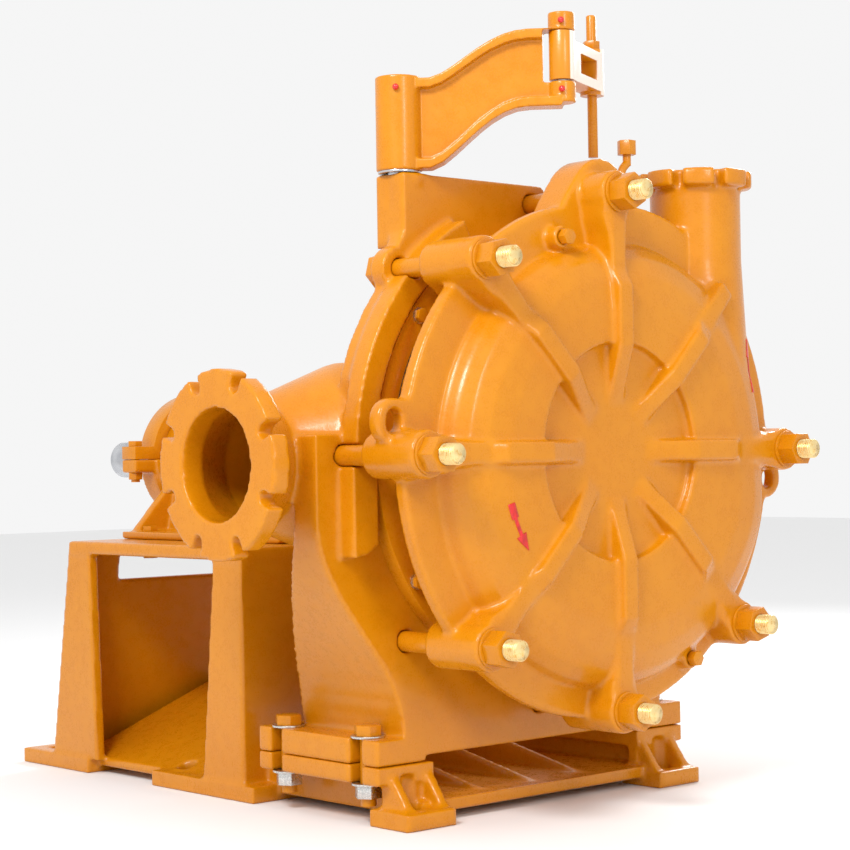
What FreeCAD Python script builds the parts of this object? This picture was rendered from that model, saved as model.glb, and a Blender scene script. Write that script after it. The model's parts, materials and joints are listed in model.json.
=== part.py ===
"""Horizontal slurry pump with a side suction chamber, a stud-clamped casing and a davit.

Millimetres. X runs across the pump (suction on -X, discharge on the +X side), Y runs along the
shaft from the casing (-Y) to the drive end (+Y), Z is up. The origin lies on the floor, in the
middle of the four foundation holes, straight under the shaft.
"""
import FreeCAD
import Part
import math
import os

V = FreeCAD.Vector
ORIGIN = V(0, 0, 0)
AXIS_X = V(1, 0, 0)
AXIS_Y = V(0, 1, 0)
AXIS_Z = V(0, 0, 1)

# Clearances
SEAT_GAP = 0.3
RUNNING_FIT = 0.05

# Shaft line and the casing studs
SHAFT_Z = 682.0
STUD_CIRCLE_R = 486.0
STUD_R = 19.05
STUD_HOLE_R = 20.5
STUD_ANGLES = (0, 90, 135, 180, 225, 270, 315)
STUD_TIP_Y = -905.0
NUT_FLATS = 60.3
NUT_HEIGHT = 37.3
WASHER_R = 37.0
WASHER_T = 5.0

# Frame plate
FRAME_FRONT_Y = -600.0
FRAME_PLATE_T = 38.0
SLAB_T = 65.0
HEAD_T = 80.0
HEAD_LEFT_X = -333.0
HEAD_RIGHT_X = 43.0
HEAD_TOP_Z = SHAFT_Z + STUD_CIRCLE_R + 39.0
FRAME_RIM_R = STUD_CIRCLE_R + 9.0
SLAB_HALF_W = STUD_CIRCLE_R + 66.0
SLAB_TOP_Z = 720.0
SLAB_LOW_Z = 563.0
LEG_FOOT_X = 350.0
LEG_REAR_Y = -300.0
LEG_WALL_T = 30.0
LEG_STEPS = 12
LEG_BELLY = 24.0
BASE_HALF_W = 400.0
FOOT_HALF_W = BASE_HALF_W + 18.0
FOOT_REAR_Y = -244.0
FOOT_LOW_Z = 112.0
FOOT_TOP_Z = 160.0
LIP_INNER_R = STUD_CIRCLE_R - 46.0
LIP_OUTER_R = STUD_CIRCLE_R + 4.0
LIP_TAIL_DROP = 162.0
LIP_FRONT_Y = -640.0
FRAME_BOLT_X = BASE_HALF_W - 15.0
FRAME_BOLT_YS = (-535.0, -298.0)
FRAME_BOLT_R = 15.0
FRAME_SLOT_W = 33.0
BOLT_FLATS = 46.0

# Suction chamber and nozzle
SUCTION_FACE_X = -695.0
SUCTION_Y = -494.0
SUCTION_Z = SHAFT_Z - 13.0
SUCTION_FLANGE_R = 171.5
SUCTION_FLANGE_T = 37.0
SUCTION_BORE_R = 101.6
SUCTION_SLOT_PCR = 149.25
SUCTION_SLOT_W = 24.0
NOZZLE_R = 125.0
NOZZLE_STRAIGHT = 40.0
NOZZLE_WAIST_X = -SLAB_HALF_W
NOZZLE_WAIST_Y = -428.0
NOZZLE_WAIST_R = 120.0
NOZZLE_WALL = 22.0
NOZZLE_ROOT_X = -408.0
NOZZLE_ROOT_R = 187.0
CHAMBER_R = 215.0
CHAMBER_WALL = 25.0
CHAMBER_REAR_Y = -330.0
EYE_R = 150.0

# Casing
FLANGE_FRONT_Y = -769.0
FLANGE_REAR_Y = -740.0
BOSS_FRONT_Y = -833.0
BOSS_REAR_Y = -695.0
BOSS_R = 43.0
HUB_FACE_Y = -815.0
CREST_Y = -851.0
SKIN_Y = -834.0
RECESS_R = 205.0
RIB_W = 40.0
RIB_FLAT_R = 314.0
COVER_FLANGE_R = LIP_INNER_R - 4.0
DRUM_R = COVER_FLANGE_R - 38.0
DRUM_WALL = 26.0
SPIRAL_R = DRUM_R - 7.0
SPIRAL_START = 130.0
SPIRAL_GROWTH = 0.4185
RIM_MARGIN_TOP = 79.0
RIM_MARGIN_LOW = 40.0
VOLUTE_Y = -722.0
VOLUTE_SIDE_X = 457.0
VOLUTE_R_SMALL = 60.0
VOLUTE_R_LARGE = 110.0
CHANNEL_R_SMALL = 36.0
CHANNEL_R_LARGE = 78.0
FRONT_INNER_Y = -787.0
CAVITY_R = 325.0
EAR_R = 42.0
EAR_HOLE_R = 17.0
EAR_HOLE_LONG = 10.0
EAR_CIRCLE_R = STUD_CIRCLE_R + 24.0
EAR_ANGLES = (173.5, 353.5)

# Discharge
DISCHARGE_X = 347.0
DISCHARGE_FACE_Z = 1242.0
DISCHARGE_FLANGE_R = 114.5
DISCHARGE_FLANGE_T = 35.0
DISCHARGE_PIPE_R = 91.0
DISCHARGE_BORE_R = 51.0
DISCHARGE_SLOT_PCR = 95.25
DISCHARGE_SLOT_W = 19.0
FLANGE_SLOTS = 8

# Suction cover (wear plate) between casing and frame
COVER_FRONT_Y = -633.0
COVER_SPIGOT_Y = -657.0
COVER_BOLT_R = COVER_FLANGE_R - 20.0
COVER_BOLT_ANGLES = (106, 142, 178, 214, 250)

# Rotor
SHAFT_END_Y = 835.0
SHAFT_END_R = 44.0
SHAFT_COLLAR_R = SHAFT_END_R + 4.0
COUPLING_SEAT_Y = 640.0
KEY_W = 22.0
KEY_DEPTH = 9.0
KEY_START_Y = 690.0
SHAFT_MID_R = 60.0
SHAFT_SEAL_R = 55.0
SHAFT_HUB_R = 40.0
IMPELLER_R = 290.0
IMPELLER_HUB_R = 74.0
SHROUD_FRONT_Y = -777.0
SHROUD_T = 18.0
BACK_SHROUD_Y = -670.0
NECK_R = 172.0
VANES = 5
SLEEVE_R = 62.0

# Seal end
EXPELLER_R = 165.0
EXPELLER_FRONT_Y = -315.0
EXPELLER_T = 34.0
SEAL_CASE_R = 205.0
SEAL_CASE_REAR_Y = -215.0
PACKING_R = 82.0
SEAL_WALL_T = 22.0
GLAND_FRONT_Y = -172.0
GLAND_REAR_Y = -150.0
BOX_REAR_Y = -180.0
PACKING_COUNT = 4

# Bearing cartridge and pedestal
CARTRIDGE_R = 125.0
CARTRIDGE_FRONT_Y = -120.0
CARTRIDGE_REAR_Y = 556.0
BEARING_OR = 107.5
BEARING_W = 47.0
BEARING_FRONT_Y = -60.0
BEARING_REAR_Y = CARTRIDGE_REAR_Y - 142.0
BEARING_COVER_T = 22.0
COVER_SCREW_R = 5.0
COVER_SCREW_PCR = 116.0
CLAMP_R = 152.0
CLAMP_STATIONS = ((-60.0, 50.0), (490.0, 55.0))
CLAMP_EAR_X = 183.0
CLAMP_EAR_T = 30.0
CLAMP_BOLT_R = 10.0
PEDESTAL_HALF_W = 265.0
PEDESTAL_FOOT_T = 16.0
PEDESTAL_FRONT_Y = -120.0
PEDESTAL_REAR_Y = 452.0
PEDESTAL_BOLT_X = 225.0
PEDESTAL_BOLT_YS = (-80.0, 400.0)

# Base
BASE_FRONT_Y = -664.0
BASE_REAR_Y = 660.0
BASE_FOOT_T = 32.0
BASE_FOOT_LEN = 113.0
BASE_FOOT_INNER_X = 280.0
ANCHOR_X = BASE_HALF_W - 55.0
ANCHOR_Y = 605.0
ANCHOR_R = 19.5
MIDDLE_ANCHOR_Y = 97.0
TABLE_TOP_Z = 504.0
TABLE_T = 28.0
TABLE_FRONT_Y = -167.0
TABLE_REAR_Y = 466.0
WALL_T = 24.0
PAD_TOP_Z = 111.7
PAD_LIP_T = 35.0
PAD_REAR_Y = -244.0

# Davit
PIVOT_X = -307.0
PIVOT_Y = -560.0
PIVOT_PIN_R = 22.0
PIVOT_HUB_R = 43.0
DAVIT_LOW_Z = HEAD_TOP_Z + 6.0
DAVIT_HUB_TOP_Z = DAVIT_LOW_Z + 172.0
FORK_X = -96.0
FORK_Y = -784.0
FORK_R = 25.0
FORK_LOW_Z = DAVIT_LOW_Z + 120.0
BARREL_LOW_Z = FORK_LOW_Z + 40.5
BARREL_TOP_Z = BARREL_LOW_Z + 92.5
FORK_TOP_Z = BARREL_TOP_Z + 35.0
ARM_FLANGE_W = 52.0
ARM_FLANGE_T = 18.0
ARM_WEB_T = 16.0
SWIVEL_PIN_R = 11.0
ROD_X = 47.0
ROD_Y = -725.0
ROD_R = 9.5
ROD_TOP_Z = FORK_TOP_Z + 24.0
ROD_LOW_Z = HEAD_TOP_Z + 43.0
BLOCK_TOP_Z = BARREL_TOP_Z - 9.0
BLOCK_LOW_Z = BARREL_LOW_Z - 4.5
BLOCK_W = 46.0
ARM_LENGTH = math.hypot(FORK_X - PIVOT_X, FORK_Y - PIVOT_Y)
ARM_ANGLE = math.degrees(math.atan2(FORK_Y - PIVOT_Y, FORK_X - PIVOT_X))

# Plugs and vent of the casing
PLUG_R = 12.0
PLUG_BOSS_R = 22.0
PLUG_BOSS_FACE_Y = FLANGE_FRONT_Y - 31.0
VENT_X = 96.0
VENT_SEAT_Y = FLANGE_FRONT_Y + 17.0
VENT_PIPE_R = 8.0
VENT_BEND_R = 26.0
VENT_ROOT_Z = HEAD_TOP_Z - 45.0
VENT_BEND_Z = HEAD_TOP_Z + 34.0


# ---------------------------------------------------------------- helpers
def cyl(radius, start, direction, length):
    return Part.makeCylinder(radius, length, start, direction)


def cyl_x(radius, x0, x1, y, z):
    return cyl(radius, V(x0, y, z), AXIS_X, x1 - x0)


def cyl_y(radius, y0, y1, x=0.0, z=SHAFT_Z):
    return cyl(radius, V(x, y0, z), AXIS_Y, y1 - y0)


def cyl_z(radius, z0, z1, x, y):
    return cyl(radius, V(x, y, z0), AXIS_Z, z1 - z0)


def box(x0, x1, y0, y1, z0, z1):
    return Part.makeBox(x1 - x0, y1 - y0, z1 - z0, V(x0, y0, z0))


def fuse(shapes):
    first = shapes[0]
    return first.fuse(list(shapes[1:])).removeSplitter() if len(shapes) > 1 else first


def joined_in_turn(shapes):
    """Fuse many mixed pieces one after another, which suits free-form castings."""
    body = shapes[0]
    for shape in shapes[1:]:
        body = body.fuse(shape)
    return body


def cut(shape, tools):
    return shape.cut(list(tools))


def cut_in_turn(shape, tools):
    for tool in tools:
        shape = shape.cut(tool)
    return shape


def mirrored_x(shape):
    return shape.mirror(ORIGIN, AXIS_X)


def turned(shape, degrees):
    """Turn about the shaft; positive is counter-clockwise seen from the casing side."""
    copy = shape.copy()
    copy.rotate(V(0, 0, SHAFT_Z), AXIS_Y, -degrees)
    return copy


def polar(radius, degrees):
    angle = math.radians(degrees)
    return radius * math.cos(angle), SHAFT_Z + radius * math.sin(angle)


def place_xz(points, y):
    return [V(x, y, z) for x, z in points]


def polygon_face(points):
    return Part.Face(Part.makePolygon(points + [points[0]]))


def prism_y(points, y0, y1):
    """Extrude an outline given as (x, z) pairs along the shaft."""
    return polygon_face(place_xz(points, y0)).extrude(V(0, y1 - y0, 0))


def prism_x(points, x0, x1):
    """Extrude an outline given as (y, z) pairs across the pump."""
    return polygon_face([V(x0, y, z) for y, z in points]).extrude(V(x1 - x0, 0, 0))


def turning(points):
    """Revolve a closed outline given as (radius, y) pairs about the shaft."""
    face = polygon_face([V(r, y, SHAFT_Z) for r, y in points])
    return face.revolve(V(0, 0, SHAFT_Z), AXIS_Y, 360)


def ring_y(outer, inner, y0, y1):
    return turning([(inner, y0), (outer, y0), (outer, y1), (inner, y1)])


def hexagon(flats, start, direction, length, turn=0.0):
    """Hexagonal prism across the given flats, from start along direction."""
    corner = flats / math.sqrt(3.0)
    points = [V(corner * math.cos(math.radians(60 * k + turn)),
                corner * math.sin(math.radians(60 * k + turn)), 0) for k in range(6)]
    solid = polygon_face(points).extrude(V(0, 0, length))
    solid.Placement = FreeCAD.Placement(start, FreeCAD.Rotation(AXIS_Z, direction))
    return solid


def chamfered_hexagon(flats, start, direction, length, turn=0.0):
    """Hexagon whose outer end is trimmed by a shallow cone."""
    reach = flats * 0.62
    cone = Part.makeCone(reach + length, flats * 0.47, length + reach - flats * 0.47,
                         start, direction)
    return hexagon(flats, start, direction, length, turn).common(cone)


def drilled_nut(flats, bore_r, start, direction, length, turn=0.0):
    nut = chamfered_hexagon(flats, start, direction, length, turn)
    return nut.cut(cyl(bore_r, start - direction, direction, length + 2))


def washer(outer_r, bore_r, start, direction, thickness):
    disc = cyl(outer_r, start, direction, thickness)
    return disc.cut(cyl(bore_r, start - direction, direction, thickness + 2))


def hex_bolt(shank_r, flats, seat, direction, grip, head_h):
    """Bolt whose head stands on the seat; direction points from head to tip."""
    head = chamfered_hexagon(flats, seat, direction * -1, head_h)
    return fuse([head, cyl(shank_r, seat, direction, grip)])


def smooth_curve(points, closed=False):
    curve = Part.BSplineCurve()
    curve.interpolate(points, PeriodicFlag=closed)
    return curve.toShape()


def largest(shape):
    return max(shape.Solids, key=lambda solid: solid.Volume)


def export(name, shape):
    shape.exportStep("parts/" + name + ".step")


def flange_slots(pitch_r, width, outer_r, start, direction, thickness):
    """Open-ended bolt slots of a flange, straddling its centre lines."""
    tools = []
    step = 360.0 / FLANGE_SLOTS
    for k in range(FLANGE_SLOTS):
        slot = fuse([Part.makeCylinder(width / 2, thickness + 2, V(pitch_r, 0, -1)),
                     Part.makeBox(outer_r, width, thickness + 2, V(pitch_r, -width / 2, -1))])
        mouth = polygon_face([V(outer_r - width * 0.2, -width * 0.5, -1),
                              V(outer_r + 4, -width * 0.8, -1),
                              V(outer_r + 4, width * 0.8, -1),
                              V(outer_r - width * 0.2, width * 0.5, -1)])
        slot = slot.fuse(mouth.extrude(V(0, 0, thickness + 2)))
        slot.rotate(ORIGIN, AXIS_Z, step * (k + 0.5))
        slot.Placement = FreeCAD.Placement(start, FreeCAD.Rotation(AXIS_Z, direction)).multiply(
            slot.Placement)
        tools.append(slot)
    return tools


# ---------------------------------------------------------------- casing
def spiral_radius(degrees):
    """Outer radius of the volute wall, growing with the angle round the casing."""
    if degrees < SPIRAL_START:
        return SPIRAL_R
    growth = SPIRAL_R + SPIRAL_GROWTH * (degrees - SPIRAL_START)
    beyond = degrees - 270.0
    if beyond <= 0:
        return growth
    return min(growth, VOLUTE_SIDE_X / max(math.sin(math.radians(beyond)), 0.2))


def dome_radius(degrees):
    """Closed outline of the front dome: the spiral, brought back to its start at the top."""
    if degrees < 90:
        share = degrees / 90.0
        return VOLUTE_SIDE_X + (SPIRAL_R - VOLUTE_SIDE_X) * share * share
    return spiral_radius(degrees)


def dome_ring(inset, y):
    points = []
    for k in range(24):
        x, z = polar(dome_radius(15.0 * k) - inset, 15.0 * k)
        points.append(V(x, y, z))
    return Part.Wire([smooth_curve(points, closed=True)])


def dome():
    depth = FLANGE_FRONT_Y - SKIN_Y
    levels = ((0.0, FLANGE_REAR_Y), (0.0, FLANGE_FRONT_Y), (10.0, FLANGE_FRONT_Y - depth * 0.40),
              (32.0, FLANGE_FRONT_Y - depth * 0.72), (70.0, FLANGE_FRONT_Y - depth * 0.92),
              (120.0, SKIN_Y))
    return Part.makeLoft([dome_ring(inset, y) for inset, y in levels], True, True)


def volute_tube(small_r, large_r, wall):
    """Circular channel that grows round the spiral and turns up into the discharge pipe."""
    wires = []
    steps = 10
    for k in range(steps + 1):
        share = k / steps
        angle = SPIRAL_START + (360.0 - SPIRAL_START) * share
        radius = small_r + (large_r - small_r) * share
        centre = spiral_radius(angle) - wall - radius if k < steps else DISCHARGE_X
        ring = Part.Wire([Part.makeCircle(radius, V(centre, VOLUTE_Y, SHAFT_Z), AXIS_Z)])
        wires.append(turned(ring, angle))
    return Part.makeLoft(wires, True, False)


def riser(radius_low, radius_top, top_z):
    """Cone and cylinder from the volute throat up to the discharge flange."""
    z_mid = SHAFT_Z + 380.0
    cone = Part.makeCone(radius_low, radius_top, z_mid - SHAFT_Z,
                         V(DISCHARGE_X, VOLUTE_Y, SHAFT_Z), AXIS_Z)
    return fuse([cone, cyl_z(radius_top, z_mid, top_z, DISCHARGE_X, VOLUTE_Y)])


def rim_flange():
    points = []
    for k in range(24):
        angle = 15.0 * k
        share = min(max((angle - 180.0) / 135.0, 0.0), 1.0)
        margin = RIM_MARGIN_TOP + (RIM_MARGIN_LOW - RIM_MARGIN_TOP) * share
        reach = min(dome_radius(angle) + margin, STUD_CIRCLE_R + 22.0)
        x, z = polar(reach, angle)
        points.append(V(x, FLANGE_REAR_Y, z))
    face = Part.Face(Part.Wire([smooth_curve(points, closed=True)]))
    return face.extrude(V(0, FLANGE_FRONT_Y - FLANGE_REAR_Y, 0))


def front_rib(end_r):
    """One radial rib: ramp out of the hub recess, flat crest, step down to the stud boss."""
    profile = [(60.0, FRONT_INNER_Y - 5), (60.0, HUB_FACE_Y + 4), (84.0, HUB_FACE_Y),
               (RECESS_R - 6, CREST_Y), (RIB_FLAT_R, CREST_Y), (RIB_FLAT_R + 28, BOSS_FRONT_Y - 1),
               (end_r, BOSS_FRONT_Y + 1), (end_r, FLANGE_REAR_Y), (CAVITY_R + 40, FLANGE_REAR_Y),
               (CAVITY_R + 10, FRONT_INNER_Y - 5)]
    points = [V(r, y, SHAFT_Z - RIB_W / 2) for r, y in profile]
    return polygon_face(points).extrude(V(0, 0, RIB_W))


def stud_boss():
    boss = cyl_y(BOSS_R, BOSS_FRONT_Y, BOSS_REAR_Y, STUD_CIRCLE_R)
    narrow, wide = RIB_W / 2 - 1, BOSS_R - 3
    flare = [(STUD_CIRCLE_R - 125, narrow), (STUD_CIRCLE_R - 78, narrow + 5),
             (STUD_CIRCLE_R - 46, wide - 6), (STUD_CIRCLE_R, wide)]
    outline = [(x, SHAFT_Z + w) for x, w in flare] + [(x, SHAFT_Z - w) for x, w in reversed(flare)]
    web = prism_y(outline, BOSS_FRONT_Y + 5, BOSS_REAR_Y + 4)
    return fuse([boss, web])


def lifting_lug():
    """Hump over the top stud that carries the davit load."""
    base_z = SHAFT_Z + SPIRAL_R - 10
    top_z = ROD_LOW_Z - 8.0
    crown = [V(-128.0, 0, base_z), V(-84.0, 0, base_z + 84), V(-52.0, 0, top_z - 50),
             V(-14.0, 0, top_z - 12), V(32.0, 0, top_z), V(66.0, 0, top_z - 12),
             V(98.0, 0, top_z - 46), V(132.0, 0, base_z + 60), V(150.0, 0, base_z)]
    edges = [smooth_curve(crown), Part.makeLine(crown[-1], crown[0])]
    hump = Part.Face(Part.Wire(edges)).extrude(V(0, VOLUTE_Y + 30 - FLANGE_FRONT_Y, 0))
    hump.translate(V(0, FLANGE_FRONT_Y, 0))
    return hump


def casing_outer():
    recessed = dome().cut(cyl_y(RECESS_R, CREST_Y, HUB_FACE_Y))
    pieces = [recessed, rim_flange(), cyl_y(DRUM_R, FLANGE_FRONT_Y, COVER_FRONT_Y - 1.0),
              volute_tube(VOLUTE_R_SMALL, VOLUTE_R_LARGE, 0.0),
              riser(VOLUTE_R_LARGE, DISCHARGE_PIPE_R, DISCHARGE_FACE_Z),
              cyl_z(DISCHARGE_FLANGE_R, DISCHARGE_FACE_Z - DISCHARGE_FLANGE_T, DISCHARGE_FACE_Z,
                    DISCHARGE_X, VOLUTE_Y),
              lifting_lug()]
    for angle in STUD_ANGLES:
        pieces.append(turned(stud_boss(), angle))
        pieces.append(turned(front_rib(STUD_CIRCLE_R), angle))
    pieces.append(turned(front_rib(SPIRAL_R + 60), 45))
    return pieces + [turned(ear(), angle) for angle in EAR_ANGLES]


def ear():
    """Handling ear on the rim, blended into it by a wide root."""
    root = [(EAR_CIRCLE_R - 95, SHAFT_Z - EAR_R - 16), (EAR_CIRCLE_R - 12, SHAFT_Z - EAR_R + 1),
            (EAR_CIRCLE_R - 12, SHAFT_Z + EAR_R - 1), (EAR_CIRCLE_R - 95, SHAFT_Z + EAR_R + 16)]
    return fuse([cyl_y(EAR_R, FLANGE_FRONT_Y, FLANGE_REAR_Y, EAR_CIRCLE_R),
                 prism_y(root, FLANGE_FRONT_Y, FLANGE_REAR_Y)])


def ear_hole():
    half = EAR_HOLE_LONG / 2
    ends = [cyl_y(EAR_HOLE_R, FLANGE_FRONT_Y - 1, FLANGE_REAR_Y + 1, EAR_CIRCLE_R + 2, SHAFT_Z + side)
            for side in (-half, half)]
    middle = box(EAR_CIRCLE_R + 2 - EAR_HOLE_R, EAR_CIRCLE_R + 2 + EAR_HOLE_R, FLANGE_FRONT_Y - 1,
                 FLANGE_REAR_Y + 1, SHAFT_Z - half, SHAFT_Z + half)
    return fuse(ends + [middle])


def casing_tools():
    tools = [turning([(0, COVER_FRONT_Y + 5), (DRUM_R - DRUM_WALL, COVER_FRONT_Y + 5),
                          (DRUM_R - DRUM_WALL, COVER_SPIGOT_Y), (CAVITY_R, COVER_SPIGOT_Y),
                          (CAVITY_R, FRONT_INNER_Y - 22), (RECESS_R + 30, FRONT_INNER_Y - 22),
                      (RECESS_R - 5, FRONT_INNER_Y), (0, FRONT_INNER_Y)])]
    tools.append(cyl_y(COVER_FLANGE_R + 3, COVER_FRONT_Y - 1.0, FRAME_FRONT_Y + 5))
    tools.append(volute_tube(CHANNEL_R_SMALL, CHANNEL_R_LARGE, 24.0))
    tools.append(riser(CHANNEL_R_LARGE, DISCHARGE_BORE_R, DISCHARGE_FACE_Z + 1))
    for angle in STUD_ANGLES:
        tools.append(turned(cyl_y(STUD_HOLE_R, CREST_Y - 5, BOSS_REAR_Y + 5, STUD_CIRCLE_R), angle))
    tools += [turned(ear_hole(), angle) for angle in EAR_ANGLES]
    tools += flange_slots(DISCHARGE_SLOT_PCR, DISCHARGE_SLOT_W, DISCHARGE_FLANGE_R,
                          V(DISCHARGE_X, VOLUTE_Y, DISCHARGE_FACE_Z - DISCHARGE_FLANGE_T),
                          AXIS_Z, DISCHARGE_FLANGE_T)
    return tools


def plug_boss_holes():
    x, z = polar(415.0, 106.0)
    low_x, low_z = polar(464.0, -61.0)
    return (x, z), (low_x, low_z)


def casing():
    body = joined_in_turn(casing_outer())
    for x, z in plug_boss_holes():
        body = body.fuse(cyl_y(PLUG_BOSS_R, PLUG_BOSS_FACE_Y, FLANGE_REAR_Y, x, z))
    body = cut_in_turn(body, casing_tools())
    for x, z in plug_boss_holes():
        body = body.cut(cyl_y(PLUG_R + SEAT_GAP, PLUG_BOSS_FACE_Y - 1, PLUG_BOSS_FACE_Y + 30, x, z))
    body = body.cut(cyl_z(VENT_PIPE_R + SEAT_GAP, VENT_ROOT_Z - 4, ROD_LOW_Z, VENT_X, VENT_SEAT_Y))
    body = body.cut(cyl_z(ROD_R + 1.0, ROD_LOW_Z - 40, ROD_LOW_Z, ROD_X, ROD_Y))
    return largest(body)


def plugs():
    made = []
    for x, z in plug_boss_holes():
        seat = V(x, PLUG_BOSS_FACE_Y, z)
        made.append(hex_bolt(PLUG_R, 27.0, seat, AXIS_Y, 28.0, 16.0))
    return made


def vent_pipe():
    first = V(VENT_X, VENT_SEAT_Y, VENT_ROOT_Z)
    turn_in = V(VENT_X, VENT_SEAT_Y, VENT_BEND_Z - VENT_BEND_R)
    lean = math.radians(50.0)
    centre = V(VENT_X + VENT_BEND_R, VENT_SEAT_Y, VENT_BEND_Z - VENT_BEND_R)
    middle = centre + V(-VENT_BEND_R * math.cos(lean / 2), 0, VENT_BEND_R * math.sin(lean / 2))
    turn_out = centre + V(-VENT_BEND_R * math.cos(lean), 0, VENT_BEND_R * math.sin(lean))
    away = V(math.sin(lean), 0, math.cos(lean))
    path = Part.Wire([Part.LineSegment(first, turn_in).toShape(),
                      Part.Arc(turn_in, middle, turn_out).toShape(),
                      Part.LineSegment(turn_out, turn_out + away * 10).toShape()])
    section = Part.Wire([Part.makeCircle(VENT_PIPE_R, first, AXIS_Z)])
    pipe = path.makePipeShell([section], True, True)
    tip = turn_out + away * 10
    return fuse([pipe, cyl(VENT_PIPE_R, tip - V(0, 0, 5), AXIS_Z, 30.0)]), tip + V(0, 0, 25.0)


def vent_cap(tip):
    cap = chamfered_hexagon(32.0, tip + V(0, 0, -9.0), AXIS_Z, 28.0)
    return cap.cut(cyl(VENT_PIPE_R + RUNNING_FIT, tip + V(0, 0, -10.0), AXIS_Z, 10.0))


# ---------------------------------------------------------------- clamping studs
def studs():
    made = []
    for angle in STUD_ANGLES:
        start = FRAME_FRONT_Y + frame_depth(angle) + (32.0 if has_rear_nut(angle) else -12.0)
        rod = cyl_y(STUD_R, STUD_TIP_Y + 3.0, start, STUD_CIRCLE_R)
        tip = Part.makeCone(STUD_R, STUD_R - 3.0, 3.0, V(STUD_CIRCLE_R, STUD_TIP_Y + 3.0, SHAFT_Z),
                            AXIS_Y * -1)
        made.append(turned(fuse([rod, tip]), angle))
    return made


def frame_depth(angle):
    """Plate thickness under the rear nut of the stud at this angle."""
    if angle in (0, 180):
        return SLAB_T
    return HEAD_T if angle == 90 else FRAME_PLATE_T


def has_rear_nut(angle):
    """The stud beside the suction nozzle is screwed into the slab instead."""
    return angle != 180


def stud_nuts():
    made = []
    for angle in STUD_ANGLES:
        seat = V(STUD_CIRCLE_R, BOSS_FRONT_Y - WASHER_T, SHAFT_Z)
        front = drilled_nut(NUT_FLATS, STUD_R + RUNNING_FIT, seat, AXIS_Y * -1, NUT_HEIGHT)
        rear_seat = V(STUD_CIRCLE_R, FRAME_FRONT_Y + frame_depth(angle), SHAFT_Z)
        rear = drilled_nut(NUT_FLATS, STUD_R + RUNNING_FIT, rear_seat, AXIS_Y, 23.0)
        made.append(turned(front, angle))
        if has_rear_nut(angle):
            made.append(turned(rear, angle))
    return made


def stud_washers():
    seat = V(STUD_CIRCLE_R, BOSS_FRONT_Y, SHAFT_Z)
    disc = washer(WASHER_R, STUD_R + SEAT_GAP, seat, AXIS_Y * -1, WASHER_T)
    return [turned(disc, angle) for angle in STUD_ANGLES]


# ---------------------------------------------------------------- suction cover
def suction_cover():
    body = turning([(EYE_R, FRAME_FRONT_Y - SEAT_GAP), (COVER_FLANGE_R, FRAME_FRONT_Y - SEAT_GAP),
                    (COVER_FLANGE_R, COVER_FRONT_Y),
                    (DRUM_R - DRUM_WALL - SEAT_GAP, COVER_FRONT_Y),
                    (DRUM_R - DRUM_WALL - SEAT_GAP, COVER_SPIGOT_Y + SEAT_GAP),
                    (NECK_R + 2.0, COVER_SPIGOT_Y + SEAT_GAP), (NECK_R + 2.0, COVER_SPIGOT_Y + 20),
                    (EYE_R, COVER_SPIGOT_Y + 20)])
    tools = [turned(cyl_y(8.4, COVER_FRONT_Y - 1, FRAME_FRONT_Y + 1, COVER_BOLT_R), a)
             for a in COVER_BOLT_ANGLES]
    return largest(cut(body, tools))


def cover_bolts():
    seat = V(COVER_BOLT_R, COVER_FRONT_Y - 3.0, SHAFT_Z)
    bolt = hex_bolt(8.0, 24.0, seat, AXIS_Y, 55.0, 10.0)
    return [turned(bolt, angle) for angle in COVER_BOLT_ANGLES]


def cover_washers():
    seat = V(COVER_BOLT_R, COVER_FRONT_Y, SHAFT_Z)
    disc = washer(15.0, 8.4, seat, AXIS_Y * -1, 3.0)
    return [turned(disc, angle) for angle in COVER_BOLT_ANGLES]


def casing_gasket():
    return ring_y(DRUM_R - 2.0, DRUM_R - DRUM_WALL + 2.0, COVER_FRONT_Y - 1.0, COVER_FRONT_Y)


# ---------------------------------------------------------------- rotor
def impeller_vane():
    """Backward-curved blade between the two shrouds."""
    inner, outer, sweep = IMPELLER_HUB_R + 16.0, IMPELLER_R - 1.0, 62.0
    front, back = [], []
    steps = 7
    for k in range(steps + 1):
        share = k / steps
        radius = inner + (outer - inner) * share
        angle = -sweep * share ** 0.8
        half = math.degrees((9.0 + 3.0 * share) / radius)
        x, z = polar(radius, angle + half)
        front.append(V(x, SHROUD_FRONT_Y + 2, z))
        x, z = polar(radius, angle - half)
        back.append(V(x, SHROUD_FRONT_Y + 2, z))
    edges = [smooth_curve(front), Part.makeLine(front[-1], back[-1]),
             smooth_curve(list(reversed(back))), Part.makeLine(back[0], front[0])]
    face = Part.Face(Part.Wire(edges))
    return face.extrude(V(0, BACK_SHROUD_Y - SHROUD_FRONT_Y - 4, 0))


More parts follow.
